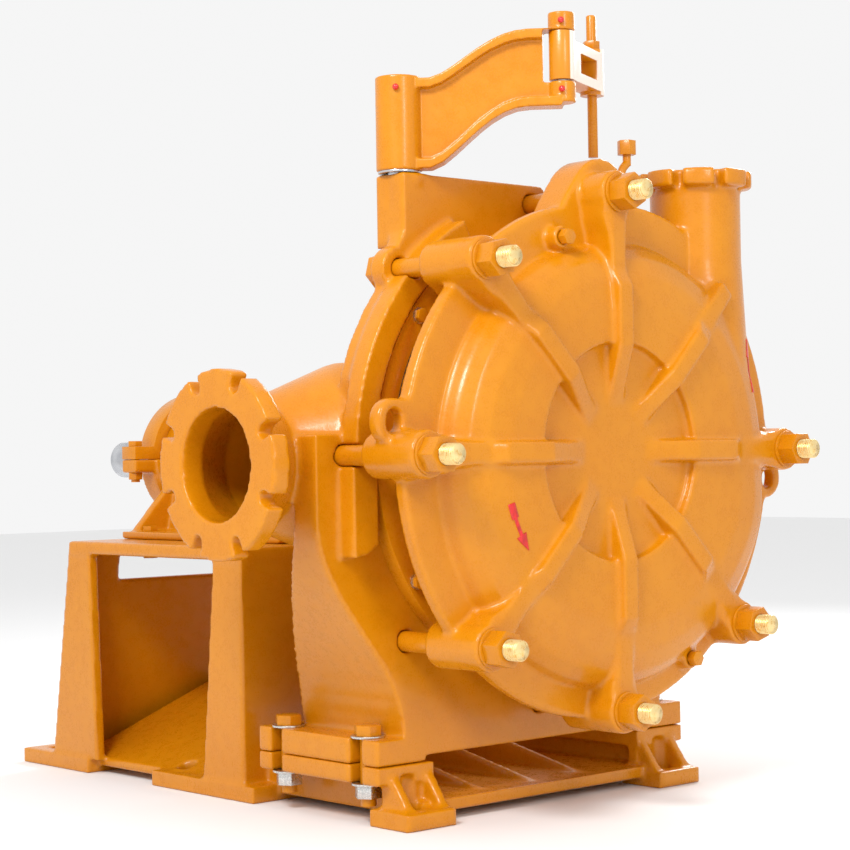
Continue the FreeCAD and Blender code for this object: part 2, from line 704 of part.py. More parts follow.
def impeller():
    front = ring_y(IMPELLER_R, SHAFT_HUB_R + RUNNING_FIT, SHROUD_FRONT_Y, SHROUD_FRONT_Y + SHROUD_T)
    nose = cyl_y(IMPELLER_HUB_R, SHROUD_FRONT_Y, SHROUD_FRONT_Y + 12)
    hub = turning([(SHAFT_HUB_R + RUNNING_FIT, SHROUD_FRONT_Y + 10),
                   (IMPELLER_HUB_R + 34, SHROUD_FRONT_Y + 10),
                   (IMPELLER_HUB_R, BACK_SHROUD_Y - 40), (IMPELLER_HUB_R, BACK_SHROUD_Y),
                   (SHAFT_HUB_R + RUNNING_FIT, BACK_SHROUD_Y)])
    rear = turning([(NECK_R - 14, BACK_SHROUD_Y - 16), (IMPELLER_R, BACK_SHROUD_Y - 16),
                    (IMPELLER_R, BACK_SHROUD_Y), (NECK_R - 3, BACK_SHROUD_Y),
                    (NECK_R - 3, BACK_SHROUD_Y + 22), (NECK_R - 14, BACK_SHROUD_Y + 22)])
    vanes = [turned(impeller_vane(), 360.0 / VANES * k) for k in range(VANES)]
    return largest(fuse([front, nose, hub, rear] + vanes))


def shaft():
    """Stepped shaft: threaded nose, seal length, bearing seats and the keyed drive end."""
    steps = [(SHAFT_HUB_R, SHROUD_FRONT_Y + 14.0), (SHAFT_HUB_R, BACK_SHROUD_Y + 0.5),
             (SHAFT_SEAL_R, BACK_SHROUD_Y + 0.5), (SHAFT_SEAL_R, BEARING_FRONT_Y - 1),
             (SHAFT_SEAL_R, BEARING_FRONT_Y + BEARING_W), (SHAFT_MID_R, BEARING_FRONT_Y + BEARING_W),
             (SHAFT_MID_R, BEARING_REAR_Y), (SHAFT_HUB_R + 10, BEARING_REAR_Y),
             (SHAFT_HUB_R + 10, BEARING_REAR_Y + 2 * BEARING_W + 18),
             (SHAFT_COLLAR_R, BEARING_REAR_Y + 2 * BEARING_W + 18),
             (SHAFT_COLLAR_R, COUPLING_SEAT_Y), (SHAFT_END_R, COUPLING_SEAT_Y),
             (SHAFT_END_R, SHAFT_END_Y - 3), (SHAFT_END_R - 3, SHAFT_END_Y)]
    outline = [(0.0, steps[0][1])] + steps + [(0.0, SHAFT_END_Y)]
    body = turning(outline)
    slot = box(-KEY_W / 2, KEY_W / 2, KEY_START_Y, SHAFT_END_Y + 1,
               SHAFT_Z + SHAFT_END_R - KEY_DEPTH, SHAFT_Z + SHAFT_END_R + 1)
    return largest(body.cut(slot))


def shaft_sleeve():
    return ring_y(SLEEVE_R, SHAFT_SEAL_R, BACK_SHROUD_Y + 0.8, GLAND_REAR_Y + 10)


def expeller():
    """Vaned disc behind the suction chamber that keeps slurry away from the packing."""
    disc = ring_y(EXPELLER_R, SLEEVE_R, EXPELLER_FRONT_Y + EXPELLER_T - 14,
                  EXPELLER_FRONT_Y + EXPELLER_T)
    hub = ring_y(SLEEVE_R + 16, SLEEVE_R, EXPELLER_FRONT_Y, EXPELLER_FRONT_Y + EXPELLER_T)
    vane = box(SLEEVE_R + 8, EXPELLER_R, EXPELLER_FRONT_Y, EXPELLER_FRONT_Y + EXPELLER_T - 13,
               SHAFT_Z - 6, SHAFT_Z + 6)
    body = fuse([disc, hub] + [turned(vane, 60 * k) for k in range(6)])
    return largest(body.common(cyl_y(EXPELLER_R, EXPELLER_FRONT_Y, EXPELLER_FRONT_Y + EXPELLER_T)))


# ---------------------------------------------------------------- seal end
def seal_housing():
    """Expeller case with the packing box on its rear wall."""
    rear = SEAL_CASE_REAR_Y
    body = turning([(EXPELLER_R + 8, CHAMBER_REAR_Y + SEAT_GAP),
                    (SEAL_CASE_R, CHAMBER_REAR_Y + SEAT_GAP), (SEAL_CASE_R, rear),
                    (PACKING_R + 20, rear), (PACKING_R + 20, BOX_REAR_Y), (PACKING_R, BOX_REAR_Y),
                    (PACKING_R, rear - SEAL_WALL_T + 4), (SLEEVE_R + 1.0, rear - SEAL_WALL_T + 4),
                    (SLEEVE_R + 1.0, rear - SEAL_WALL_T - 8), (EXPELLER_R + 8, rear - SEAL_WALL_T - 8)])
    tools = [turned(cyl_y(7.4, CHAMBER_REAR_Y - 1, rear + 1, SEAL_CASE_R - 14), 45 * k + 22.5)
             for k in range(8)]
    return largest(cut(body, tools))


def seal_bolts():
    seat = V(SEAL_CASE_R - 14, SEAL_CASE_REAR_Y, SHAFT_Z)
    grip = SEAL_CASE_REAR_Y - CHAMBER_REAR_Y + 14
    bolt = hex_bolt(7.0, 22.0, seat, AXIS_Y * -1, grip, 9.0)
    return [turned(bolt, 45 * k + 22.5) for k in range(8)]


def packing_rings():
    start = SEAL_CASE_REAR_Y - SEAL_WALL_T + 4
    width = (GLAND_FRONT_Y - 10 - start) / PACKING_COUNT
    return [ring_y(PACKING_R, SLEEVE_R + RUNNING_FIT, start + width * k, start + width * (k + 1) - 0.4)
            for k in range(PACKING_COUNT)]


def gland():
    """Follower that squeezes the packing, with an oval flange for its two studs."""
    nose = ring_y(PACKING_R - SEAT_GAP, SLEEVE_R + 1.0, GLAND_FRONT_Y - 10, GLAND_FRONT_Y)
    flange = ring_y(PACKING_R + 6, SLEEVE_R + 1.0, GLAND_FRONT_Y, GLAND_REAR_Y)
    made = [nose, flange]
    for side in (-1, 1):
        made.append(cyl_y(16.0, GLAND_FRONT_Y, GLAND_REAR_Y, side * (PACKING_R + 14)))
    body = fuse(made)
    for side in (-1, 1):
        body = body.cut(cyl_y(7.0, GLAND_FRONT_Y - 2, GLAND_REAR_Y + 1, side * (PACKING_R + 16)))
    return largest(body)


def gland_studs():
    made = []
    for side in (-1, 1):
        x = side * (PACKING_R + 16)
        rod = cyl_y(6.0, BOX_REAR_Y, GLAND_REAR_Y + 20, x)
        nut = hexagon(19.0, V(x, GLAND_REAR_Y, SHAFT_Z), AXIS_Y, 10.0)
        made.append(fuse([rod, nut]))
    return made


# ---------------------------------------------------------------- bearings
def bearing(front_y, bore_r):
    """Rolling bearing as one ring pair with rollers between inner and outer ring."""
    inner = ring_y(bore_r + 17, bore_r, front_y, front_y + BEARING_W)
    outer = ring_y(BEARING_OR, BEARING_OR - 15, front_y, front_y + BEARING_W)
    made = [inner, outer]
    pitch = (bore_r + 17 + BEARING_OR - 15) / 2
    roller = (BEARING_OR - 15 - bore_r - 17) / 2
    for k in range(12):
        made.append(turned(cyl_y(roller - 0.02, front_y + 8, front_y + BEARING_W - 8, pitch), 30 * k))
    return made


def rear_block_end():
    return BEARING_REAR_Y + 2 * BEARING_W


def cartridge():
    """Tube that carries both bearings and slides in the pedestal to set the impeller."""
    rear = CARTRIDGE_REAR_Y - BEARING_COVER_T
    front = CARTRIDGE_FRONT_Y + BEARING_COVER_T
    bore = BEARING_OR + RUNNING_FIT
    body = turning([(bore, front), (CARTRIDGE_R, front), (CARTRIDGE_R, rear), (bore, rear),
                    (bore, BEARING_REAR_Y), (bore - 12, BEARING_REAR_Y),
                    (bore - 12, BEARING_FRONT_Y + BEARING_W), (bore, BEARING_FRONT_Y + BEARING_W)])
    return largest(cut(body, cover_screw_holes()))


def cover_screw_holes():
    """Six screw holes through both covers into the ends of the cartridge."""
    tools = []
    for k in range(6):
        rear = cyl_y(COVER_SCREW_R + RUNNING_FIT, CARTRIDGE_REAR_Y - 45, CARTRIDGE_REAR_Y + 1,
                     COVER_SCREW_PCR)
        front = cyl_y(COVER_SCREW_R + RUNNING_FIT, CARTRIDGE_FRONT_Y - 1, CARTRIDGE_FRONT_Y + 45,
                      COVER_SCREW_PCR)
        tools += [turned(rear, 60 * k + 30), turned(front, 60 * k + 30)]
    return tools


def bearing_cover(seat_y, sign, shaft_r, bearing_face_y):
    """Flanged end cover; its ring spigot reaches in to hold the bearing's outer ring."""
    outer = seat_y + sign * BEARING_COVER_T
    spigot_end = bearing_face_y + sign * SEAT_GAP
    spigot_r = BEARING_OR - SEAT_GAP
    inside = seat_y + sign * SEAT_GAP
    body = turning([(spigot_r - 14, spigot_end), (spigot_r, spigot_end), (spigot_r, inside),
                    (CARTRIDGE_R, inside), (CARTRIDGE_R, outer - sign * 5), (CARTRIDGE_R - 5, outer),
                    (shaft_r + 0.5, outer), (shaft_r + 0.5, inside), (spigot_r - 14, inside)])
    return largest(cut(body, cover_screw_holes()))


def cover_screws():
    made = []
    for k in range(6):
        rear = hex_bolt(COVER_SCREW_R, 17.0, V(COVER_SCREW_PCR, CARTRIDGE_REAR_Y, SHAFT_Z), AXIS_Y * -1,
                        40.0, 7.0)
        front = hex_bolt(COVER_SCREW_R, 17.0, V(COVER_SCREW_PCR, CARTRIDGE_FRONT_Y, SHAFT_Z), AXIS_Y,
                         40.0, 7.0)
        made += [turned(rear, 60 * k + 30), turned(front, 60 * k + 30)]
    return made


def locknut():
    start = rear_block_end() + SEAT_GAP
    nut = ring_y(SHAFT_HUB_R + 28, SHAFT_HUB_R + 10 + RUNNING_FIT, start, start + 15)
    tools = [turned(box(SHAFT_HUB_R + 22, SHAFT_HUB_R + 30, start - 1, start + 16, SHAFT_Z - 5, SHAFT_Z + 5),
                    90 * k) for k in range(4)]
    return largest(cut(nut, tools))


def flinger():
    """Slinger ring on the shaft ahead of the bearing cartridge."""
    y = CARTRIDGE_FRONT_Y - 14
    return ring_y(SHAFT_SEAL_R + 22, SHAFT_SEAL_R + RUNNING_FIT, y, y + 8)


# ---------------------------------------------------------------- pedestal
def clamp_ear(side, y0, length, lower):
    z0 = SHAFT_Z - CLAMP_EAR_T if lower else SHAFT_Z + SEAT_GAP
    z1 = SHAFT_Z if lower else SHAFT_Z + CLAMP_EAR_T
    inner, outer = CARTRIDGE_R + 6, CLAMP_EAR_X + 18
    x0, x1 = (inner, outer) if side > 0 else (-outer, -inner)
    return box(x0, x1, y0, y0 + length, z0, z1)


def half_space(lower):
    size = 700.0
    z0 = SHAFT_Z - size if lower else SHAFT_Z + SEAT_GAP
    return box(-size, size, -size, size + 100, z0, z0 + size)


def clamp_holes():
    tools = []
    for start, length in CLAMP_STATIONS:
        for side in (-1, 1):
            tools.append(cyl_z(CLAMP_BOLT_R + 0.6, SHAFT_Z - 60, SHAFT_Z + 60,
                               side * CLAMP_EAR_X, start + length / 2))
    return tools


def pedestal():
    """Foot, webs and lower clamp halves that carry the bearing cartridge."""
    foot_z = TABLE_TOP_Z + SEAT_GAP
    top = foot_z + PEDESTAL_FOOT_T
    parts = [box(-PEDESTAL_HALF_W, PEDESTAL_HALF_W, PEDESTAL_FRONT_Y, PEDESTAL_REAR_Y, foot_z, top)]
    first, last = CLAMP_STATIONS[0], CLAMP_STATIONS[1]
    for start, length in CLAMP_STATIONS:
        parts.append(cyl_y(CLAMP_R, start, start + length))
        for side in (-1, 1):
            parts.append(clamp_ear(side, start, length, True))
    for side in (-1, 1):
        wall = [(side * 70.0, top - 1), (side * 165.0, top - 1), (side * 140.0, SHAFT_Z - 40),
                (side * 100.0, SHAFT_Z - 40)]
        parts.append(prism_y(wall, first[0] + 10, last[0] + last[1] - 8).common(
            box(-300, 300, first[0], PEDESTAL_REAR_Y, foot_z, SHAFT_Z)))
        rib = [(side * 120.0, top - 1), (side * (PEDESTAL_HALF_W - 12), top - 1),
               (side * 150.0, SHAFT_Z - 50), (side * 110.0, SHAFT_Z - 50)]
        for y in (first[0] + 15, 180.0, PEDESTAL_REAR_Y - 35):
            parts.append(prism_y(rib, y, y + 20))
    overhang = [(PEDESTAL_REAR_Y - 60, foot_z + 4), (PEDESTAL_REAR_Y, foot_z + 4),
                (last[0] + last[1], SHAFT_Z - 120), (last[0] + last[1], SHAFT_Z - 90),
                (PEDESTAL_REAR_Y - 60, SHAFT_Z - 90)]
    parts.append(prism_x(overhang, -110, 110))
    parts.append(cyl_y(CLAMP_R - 8, first[0], last[0] + last[1]))
    body = fuse(parts).common(half_space(True))
    tools = [cyl_y(CARTRIDGE_R + RUNNING_FIT, -300, 700)] + clamp_holes()
    for x in (-PEDESTAL_BOLT_X, PEDESTAL_BOLT_X):
        for y in PEDESTAL_BOLT_YS:
            tools.append(cyl_z(9.5, foot_z - 1, top + 1, x, y))
    return largest(cut(body, tools))


def clamp_caps():
    made = []
    for start, length in CLAMP_STATIONS:
        parts = [cyl_y(CLAMP_R, start, start + length)]
        for side in (-1, 1):
            parts.append(clamp_ear(side, start, length, False))
        cap = fuse(parts).common(half_space(False))
        cap = cut(cap, [cyl_y(CARTRIDGE_R + RUNNING_FIT, start - 1, start + length + 1)] + clamp_holes())
        made.append(largest(cap))
    return made


def clamp_bolts():
    made = []
    for start, length in CLAMP_STATIONS:
        for side in (-1, 1):
            x, y = side * CLAMP_EAR_X, start + length / 2
            bolt = hex_bolt(CLAMP_BOLT_R, 30.0, V(x, y, SHAFT_Z + CLAMP_EAR_T), AXIS_Z * -1,
                            2 * CLAMP_EAR_T + 22, 12.5)
            nut = hexagon(30.0, V(x, y, SHAFT_Z - CLAMP_EAR_T), AXIS_Z * -1, 16.0)
            made.append(fuse([bolt, nut]))
    return made


def pedestal_bolts():
    made = []
    top = TABLE_TOP_Z + SEAT_GAP + PEDESTAL_FOOT_T
    for x in (-PEDESTAL_BOLT_X, PEDESTAL_BOLT_X):
        for y in PEDESTAL_BOLT_YS:
            bolt = hex_bolt(9.0, 30.0, V(x, y, top), AXIS_Z * -1, PEDESTAL_FOOT_T + TABLE_T + 15.4, 12.0)
            nut = hexagon(30.0, V(x, y, TABLE_TOP_Z - TABLE_T), AXIS_Z * -1, 15.0)
            made.append(fuse([bolt, nut]))
    return made


# ---------------------------------------------------------------- frame
def leg_curve():
    """Outer side of one leg from the slab down to the foot flange, as (x, z) pairs."""
    drop = SLAB_LOW_Z - FOOT_TOP_Z
    reach = SLAB_HALF_W - LEG_FOOT_X
    pairs = []
    for k in range(LEG_STEPS + 1):
        share = k / LEG_STEPS
        eased = 0.5 - 0.5 * math.cos(math.pi * share)
        pairs.append((reach * eased - SLAB_HALF_W, SLAB_LOW_Z - drop * share))
    return pairs


def plate_outline():
    """Front outline of the frame plate, left side first, as (x, z) pairs."""
    left = leg_curve()
    outline = [(-LEG_FOOT_X, FOOT_LOW_Z + 11)] + list(reversed(left))
    outline += [(-SLAB_HALF_W, SLAB_TOP_Z), (-STUD_CIRCLE_R + 30, SLAB_TOP_Z)]
    for angle in (163, 155, 147, 141):
        outline.append(polar(STUD_CIRCLE_R, angle))
    head_side = SHAFT_Z + STUD_CIRCLE_R * math.sin(math.radians(135)) + 72
    outline += [(HEAD_LEFT_X - 14, head_side - 26), (HEAD_LEFT_X, head_side),
                (HEAD_LEFT_X, HEAD_TOP_Z), (HEAD_RIGHT_X - 14, HEAD_TOP_Z),
                (HEAD_RIGHT_X, HEAD_TOP_Z - 14)]
    for angle in range(84, 4, -8):
        outline.append(polar(FRAME_RIM_R, angle))
    outline += [(FRAME_RIM_R, SLAB_TOP_Z), (SLAB_HALF_W, SLAB_TOP_Z)]
    outline += [(-x, z) for x, z in left]
    outline.append((LEG_FOOT_X, FOOT_LOW_Z + 11))
    return outline


def leg_wall(side):
    """Side wall of a leg, running back from the plate above the foot flange."""
    outer = leg_curve()
    inner = [(x + LEG_WALL_T, z) for x, z in reversed(outer)]
    wall = prism_y(outer + inner, FRAME_FRONT_Y, LEG_REAR_Y + LEG_BELLY)
    shallow = FRAME_FRONT_Y + SLAB_T
    profile = [(FRAME_FRONT_Y, outer[-1][1] - 1), (FRAME_FRONT_Y, outer[0][1] + 1),
               (shallow, outer[0][1] + 1)]
    for k, (x, z) in enumerate(outer):
        share = (x - outer[0][0]) / (outer[-1][0] - outer[0][0])
        belly = LEG_BELLY * math.sin(math.pi * k / LEG_STEPS)
        profile.append((shallow + (LEG_REAR_Y - shallow) * share + belly, z - 1))
    wall = largest(wall.common(prism_x(profile, -SLAB_HALF_W - 5, 0)))
    return wall if side < 0 else mirrored_x(wall)


def locating_lip():
    """Raised arc that locates the cover, with a straight tail down the left side."""
    arc = ring_y(LIP_OUTER_R, LIP_INNER_R, LIP_FRONT_Y, FRAME_FRONT_Y + 2)
    sector = [(0.0, SHAFT_Z)] + [polar(700.0, a) for a in (116, 137, 158, 180)]
    arc = arc.common(prism_y(sector, LIP_FRONT_Y - 1, FRAME_FRONT_Y + 3))
    tail_out, tail_in = -LIP_OUTER_R - 8, -LIP_INNER_R + 2
    end_z = SHAFT_Z - LIP_TAIL_DROP
    tail = prism_y([(tail_out, SHAFT_Z + 2), (tail_in, SHAFT_Z + 2), (tail_in, end_z),
                    (tail_in - 28, end_z - 18), (tail_out, end_z - 22)], LIP_FRONT_Y, FRAME_FRONT_Y + 2)
    return fuse([arc, tail])


def suction_flange():
    return cyl_x(SUCTION_FLANGE_R, SUCTION_FACE_X, SUCTION_FACE_X + SUCTION_FLANGE_T,
                 SUCTION_Y, SUCTION_Z)


def nozzle_duct(stations):
    """Straight-sided duct through round stations given as (x, y, radius)."""
    wires = [Part.Wire([Part.makeCircle(radius, V(x, y, SUCTION_Z), AXIS_X)]) for x, y, radius in stations]
    return Part.makeLoft(wires, True, True)


def chamber_outer():
    straight = SUCTION_FACE_X + NOZZLE_STRAIGHT
    duct = nozzle_duct([(SUCTION_FACE_X + 5, SUCTION_Y, NOZZLE_R), (straight, SUCTION_Y, NOZZLE_R),
                        (NOZZLE_WAIST_X, NOZZLE_WAIST_Y, NOZZLE_WAIST_R),
                        (NOZZLE_ROOT_X, SUCTION_Y, NOZZLE_ROOT_R)])
    root = cyl_x(NOZZLE_ROOT_R, NOZZLE_ROOT_X, -CHAMBER_R * 0.5, SUCTION_Y, SUCTION_Z)
    body = joined_in_turn([duct, root, suction_flange()])
    in_front = box(-SLAB_HALF_W - 2, 0, -800, FRAME_FRONT_Y, 300, 1000)
    drum = cyl_y(CHAMBER_R, FRAME_FRONT_Y + 2, CHAMBER_REAR_Y)
    behind = box(-SEAL_CASE_R - 4, 0, CHAMBER_REAR_Y, -200, 300, 1000)
    return body.cut(in_front).cut(behind).fuse(drum)


def chamber_inner():
    wide = NOZZLE_ROOT_R - CHAMBER_WALL - 27
    front = FRAME_FRONT_Y + CHAMBER_WALL
    behind_slab = FRAME_FRONT_Y + SLAB_T + 5
    straight = SUCTION_FACE_X + NOZZLE_STRAIGHT + 5
    duct = nozzle_duct([(SUCTION_FACE_X - 1, SUCTION_Y, SUCTION_BORE_R),
                        (straight, SUCTION_Y, SUCTION_BORE_R),
                        (NOZZLE_WAIST_X, NOZZLE_WAIST_Y, NOZZLE_WAIST_R - NOZZLE_WALL),
                        (NOZZLE_ROOT_X - 10, SUCTION_Y + 14, wide)])
    through = cyl_x(wide, NOZZLE_ROOT_X - 11, -40, SUCTION_Y + 8, SUCTION_Z)
    at_slab = box(NOZZLE_WAIST_X, -FRAME_RIM_R + 150, -900, behind_slab, 300, 1100)
    at_plate = box(-FRAME_RIM_R + 149, 300, -900, FRAME_FRONT_Y + FRAME_PLATE_T, 300, 1100)
    passage = joined_in_turn([duct, through]).cut(at_slab).cut(at_plate)
    drum = cyl_y(CHAMBER_R - CHAMBER_WALL, front, CHAMBER_REAR_Y - CHAMBER_WALL)
    return [passage, drum, cyl_y(EYE_R, FRAME_FRONT_Y - 5, front + 1),
            cyl_y(EXPELLER_R + 3, CHAMBER_REAR_Y - CHAMBER_WALL - 1, CHAMBER_REAR_Y + 1)]


def frame_foot(side):
    """Foot flange of one leg, with open-ended bolt slots front and rear."""
    inner = LEG_FOOT_X - 50
    x0, x1 = (-FOOT_HALF_W, -inner) if side < 0 else (inner, FOOT_HALF_W)
    return box(x0, x1, FRAME_FRONT_Y, FOOT_REAR_Y, FOOT_LOW_Z, FOOT_TOP_Z)


def foot_slots(z0, z1):
    tools = []
    half = FRAME_SLOT_W / 2
    for y in FRAME_BOLT_YS:
        tools.append(cyl_z(half, z0, z1, -FRAME_BOLT_X, y))
        tools.append(box(-FOOT_HALF_W - 9, -FRAME_BOLT_X, y - half, y + half, z0, z1))
    return tools + [mirrored_x(tool) for tool in tools]


def pump_frame():
    """Plate, head, legs, feet and the suction chamber, cast in one."""
    outline = plate_outline()
    plate = prism_y(outline, FRAME_FRONT_Y, FRAME_FRONT_Y + FRAME_PLATE_T)
    lug_x, lug_z = polar(STUD_CIRCLE_R, 135)
    parts = [plate, cyl_y(BOSS_R, FRAME_FRONT_Y, FRAME_FRONT_Y + FRAME_PLATE_T, lug_x, lug_z),
             box(HEAD_LEFT_X, HEAD_RIGHT_X - 14, FRAME_FRONT_Y + 2, FRAME_FRONT_Y + HEAD_T,
                 HEAD_TOP_Z - 137, HEAD_TOP_Z),
             locating_lip(), chamber_outer()]
    for side in (-1, 1):
        slab_x = sorted((side * SLAB_HALF_W, side * (FRAME_RIM_R - 140)))
        parts.append(box(slab_x[0], slab_x[1], FRAME_FRONT_Y + 2, FRAME_FRONT_Y + SLAB_T,
                         SLAB_LOW_Z, SLAB_TOP_Z))
        parts += [leg_wall(side), frame_foot(side)]
    hub = cyl_z(PIVOT_HUB_R, HEAD_TOP_Z - 20, HEAD_TOP_Z + 2, PIVOT_X + 10, PIVOT_Y)
    head_block = box(HEAD_LEFT_X, HEAD_RIGHT_X, -700, -500, HEAD_TOP_Z - 30, HEAD_TOP_Z + 2)
    parts.append(hub.common(head_block))
    body = fuse(parts)
    tools = chamber_inner()
    for angle in STUD_ANGLES:
        depth = HEAD_T + 2 if has_rear_nut(angle) else SLAB_T - 11
        tools.append(turned(cyl_y(STUD_HOLE_R, LIP_FRONT_Y - 2, FRAME_FRONT_Y + depth, STUD_CIRCLE_R),
                            angle))
    for angle in COVER_BOLT_ANGLES:
        tools.append(turned(cyl_y(8.0 + RUNNING_FIT, FRAME_FRONT_Y - 2, FRAME_FRONT_Y + 28,
                                  COVER_BOLT_R), angle))
    for k in range(8):
        tools.append(turned(cyl_y(7.0 + RUNNING_FIT, CHAMBER_REAR_Y - 20, CHAMBER_REAR_Y + 1,
                                  SEAL_CASE_R - 14), 45 * k + 22.5))
    tools += foot_slots(FOOT_LOW_Z - 1, FOOT_TOP_Z + 1)
    tools.append(cyl_z(PIVOT_PIN_R + RUNNING_FIT, HEAD_TOP_Z - 70, HEAD_TOP_Z + 5, PIVOT_X, PIVOT_Y))
    tools += flange_slots(SUCTION_SLOT_PCR, SUCTION_SLOT_W, SUCTION_FLANGE_R,
                          V(SUCTION_FACE_X, SUCTION_Y, SUCTION_Z), AXIS_X, SUCTION_FLANGE_T)
    return largest(cut(body, tools))


def frame_bolt_places():
    return [(x, y) for x in (-FRAME_BOLT_X, FRAME_BOLT_X) for y in FRAME_BOLT_YS]


def frame_bolts():
    grip = FOOT_TOP_Z + 5 - PAD_TOP_Z + PAD_LIP_T + 42
    return [hex_bolt(FRAME_BOLT_R, BOLT_FLATS, V(x, y, FOOT_TOP_Z + 4), AXIS_Z * -1, grip, 19.0)
            for x, y in frame_bolt_places()]


def frame_washers():
    made = []
    for x, y in frame_bolt_places():
        made.append(washer(32.0, FRAME_BOLT_R + 0.5, V(x, y, FOOT_TOP_Z), AXIS_Z, 4.0))
        made.append(washer(32.0, FRAME_BOLT_R + 0.5, V(x, y, PAD_TOP_Z - PAD_LIP_T), AXIS_Z * -1, 4.0))
    return made


def frame_nuts():
    z = PAD_TOP_Z - PAD_LIP_T - 4
    return [drilled_nut(BOLT_FLATS, FRAME_BOLT_R + RUNNING_FIT, V(x, y, z), AXIS_Z * -1, 24.0)
            for x, y in frame_bolt_places()]


# ---------------------------------------------------------------- base
def base_side_post(side):
    """Rear corner post and middle post of one side, tapering towards the top plate."""
    edge = -BASE_HALF_W + 4
    rear = [(TABLE_REAR_Y - 79, TABLE_TOP_Z - 2), (TABLE_REAR_Y, TABLE_TOP_Z - 2),
            (TABLE_REAR_Y + 75, BASE_FOOT_T - 2), (TABLE_REAR_Y - 101, BASE_FOOT_T - 2)]
    middle = [(TABLE_FRONT_Y, TABLE_TOP_Z - 2), (TABLE_FRONT_Y + 94, TABLE_TOP_Z - 2),
              (TABLE_FRONT_Y + 140, BASE_FOOT_T - 2), (TABLE_FRONT_Y + 9, BASE_FOOT_T - 2)]
    posts = fuse([prism_x(rear, edge, edge + WALL_T), prism_x(middle, edge, edge + WALL_T)])
    return posts if side < 0 else mirrored_x(posts)


def front_pad(side):
    """Wall and lip under one frame foot, with gussets down to the front foot."""
    edge = -BASE_HALF_W - 4
    lip = box(-FOOT_HALF_W, -BASE_FOOT_INNER_X, FRAME_FRONT_Y, PAD_REAR_Y,
              PAD_TOP_Z - PAD_LIP_T, PAD_TOP_Z)
    lip = cut(lip, foot_slots(PAD_TOP_Z - PAD_LIP_T - 1, PAD_TOP_Z + 1)[:4])
    wall = box(-BASE_FOOT_INNER_X - 55, -BASE_FOOT_INNER_X - 31, FRAME_FRONT_Y + 10, TABLE_FRONT_Y + 5,
               13.0, PAD_TOP_Z - 5)
    face = box(edge + 16, -BASE_FOOT_INNER_X, FRAME_FRONT_Y + 4, FRAME_FRONT_Y + 28,
               BASE_FOOT_T - 2, PAD_TOP_Z - 5)
    gussets = []
    for x in (edge + 16, -BASE_FOOT_INNER_X - 24):
        gussets.append(prism_x([(FRAME_FRONT_Y + 6, PAD_TOP_Z - 8), (FRAME_FRONT_Y + 6, BASE_FOOT_T - 2),
                                (BASE_FRONT_Y + 14, BASE_FOOT_T - 2)], x, x + 20))
    body = fuse([lip, wall, face] + gussets)
    return body if side < 0 else mirrored_x(body)


def foot_block(y0, y1, inner_x, side):
    body = box(-BASE_HALF_W, -inner_x, y0, y1, 0, BASE_FOOT_T)
    return body if side < 0 else mirrored_x(body)


def sloped_floor(side):
    """Drip floor under the table, rising from the side to the middle at a steady slope."""
    rise = math.tan(math.radians(21.0))
    edge = BASE_HALF_W - 26
    floor = [(-edge, 13.0), (0.0, 13.0 + rise * edge), (0.0, 31.0 + rise * edge), (-edge, 31.0)]
    body = prism_y(floor, TABLE_FRONT_Y + 10, TABLE_REAR_Y + 2)
    return body if side < 0 else mirrored_x(body)


def rear_wall():
    """Full-width end wall under the table with a long window near its top."""
    wall = prism_x([(TABLE_REAR_Y - WALL_T, TABLE_TOP_Z - 2), (TABLE_REAR_Y, TABLE_TOP_Z - 2),
                    (TABLE_REAR_Y + 70, 8.0), (TABLE_REAR_Y + 70 - WALL_T, 8.0)],
                   -BASE_HALF_W + 6, BASE_HALF_W - 6)
    return wall.cut(box(-273, 273, TABLE_REAR_Y - 60, TABLE_REAR_Y + 100, 414, 470))


def cross_wall():
    front = TABLE_FRONT_Y + 2
    return box(-BASE_HALF_W + 6, BASE_HALF_W - 6, front, front + WALL_T, 13.0, TABLE_TOP_Z - 2)


def front_tray():
    """Low floor between the front feet with three ribs rising to the cross wall."""
    parts = [box(-BASE_FOOT_INNER_X - 40, BASE_FOOT_INNER_X + 40, BASE_FRONT_Y + 49, TABLE_FRONT_Y + 4,
                 16.0, 40.0)]
    for x in (-140.0, 0.0, 140.0):
        parts.append(prism_x([(BASE_FRONT_Y + 70, 38.0), (TABLE_FRONT_Y + 4, 38.0),
                              (TABLE_FRONT_Y + 4, 110.0), (TABLE_FRONT_Y - 120, 100.0)], x - 9, x + 9))
    return parts


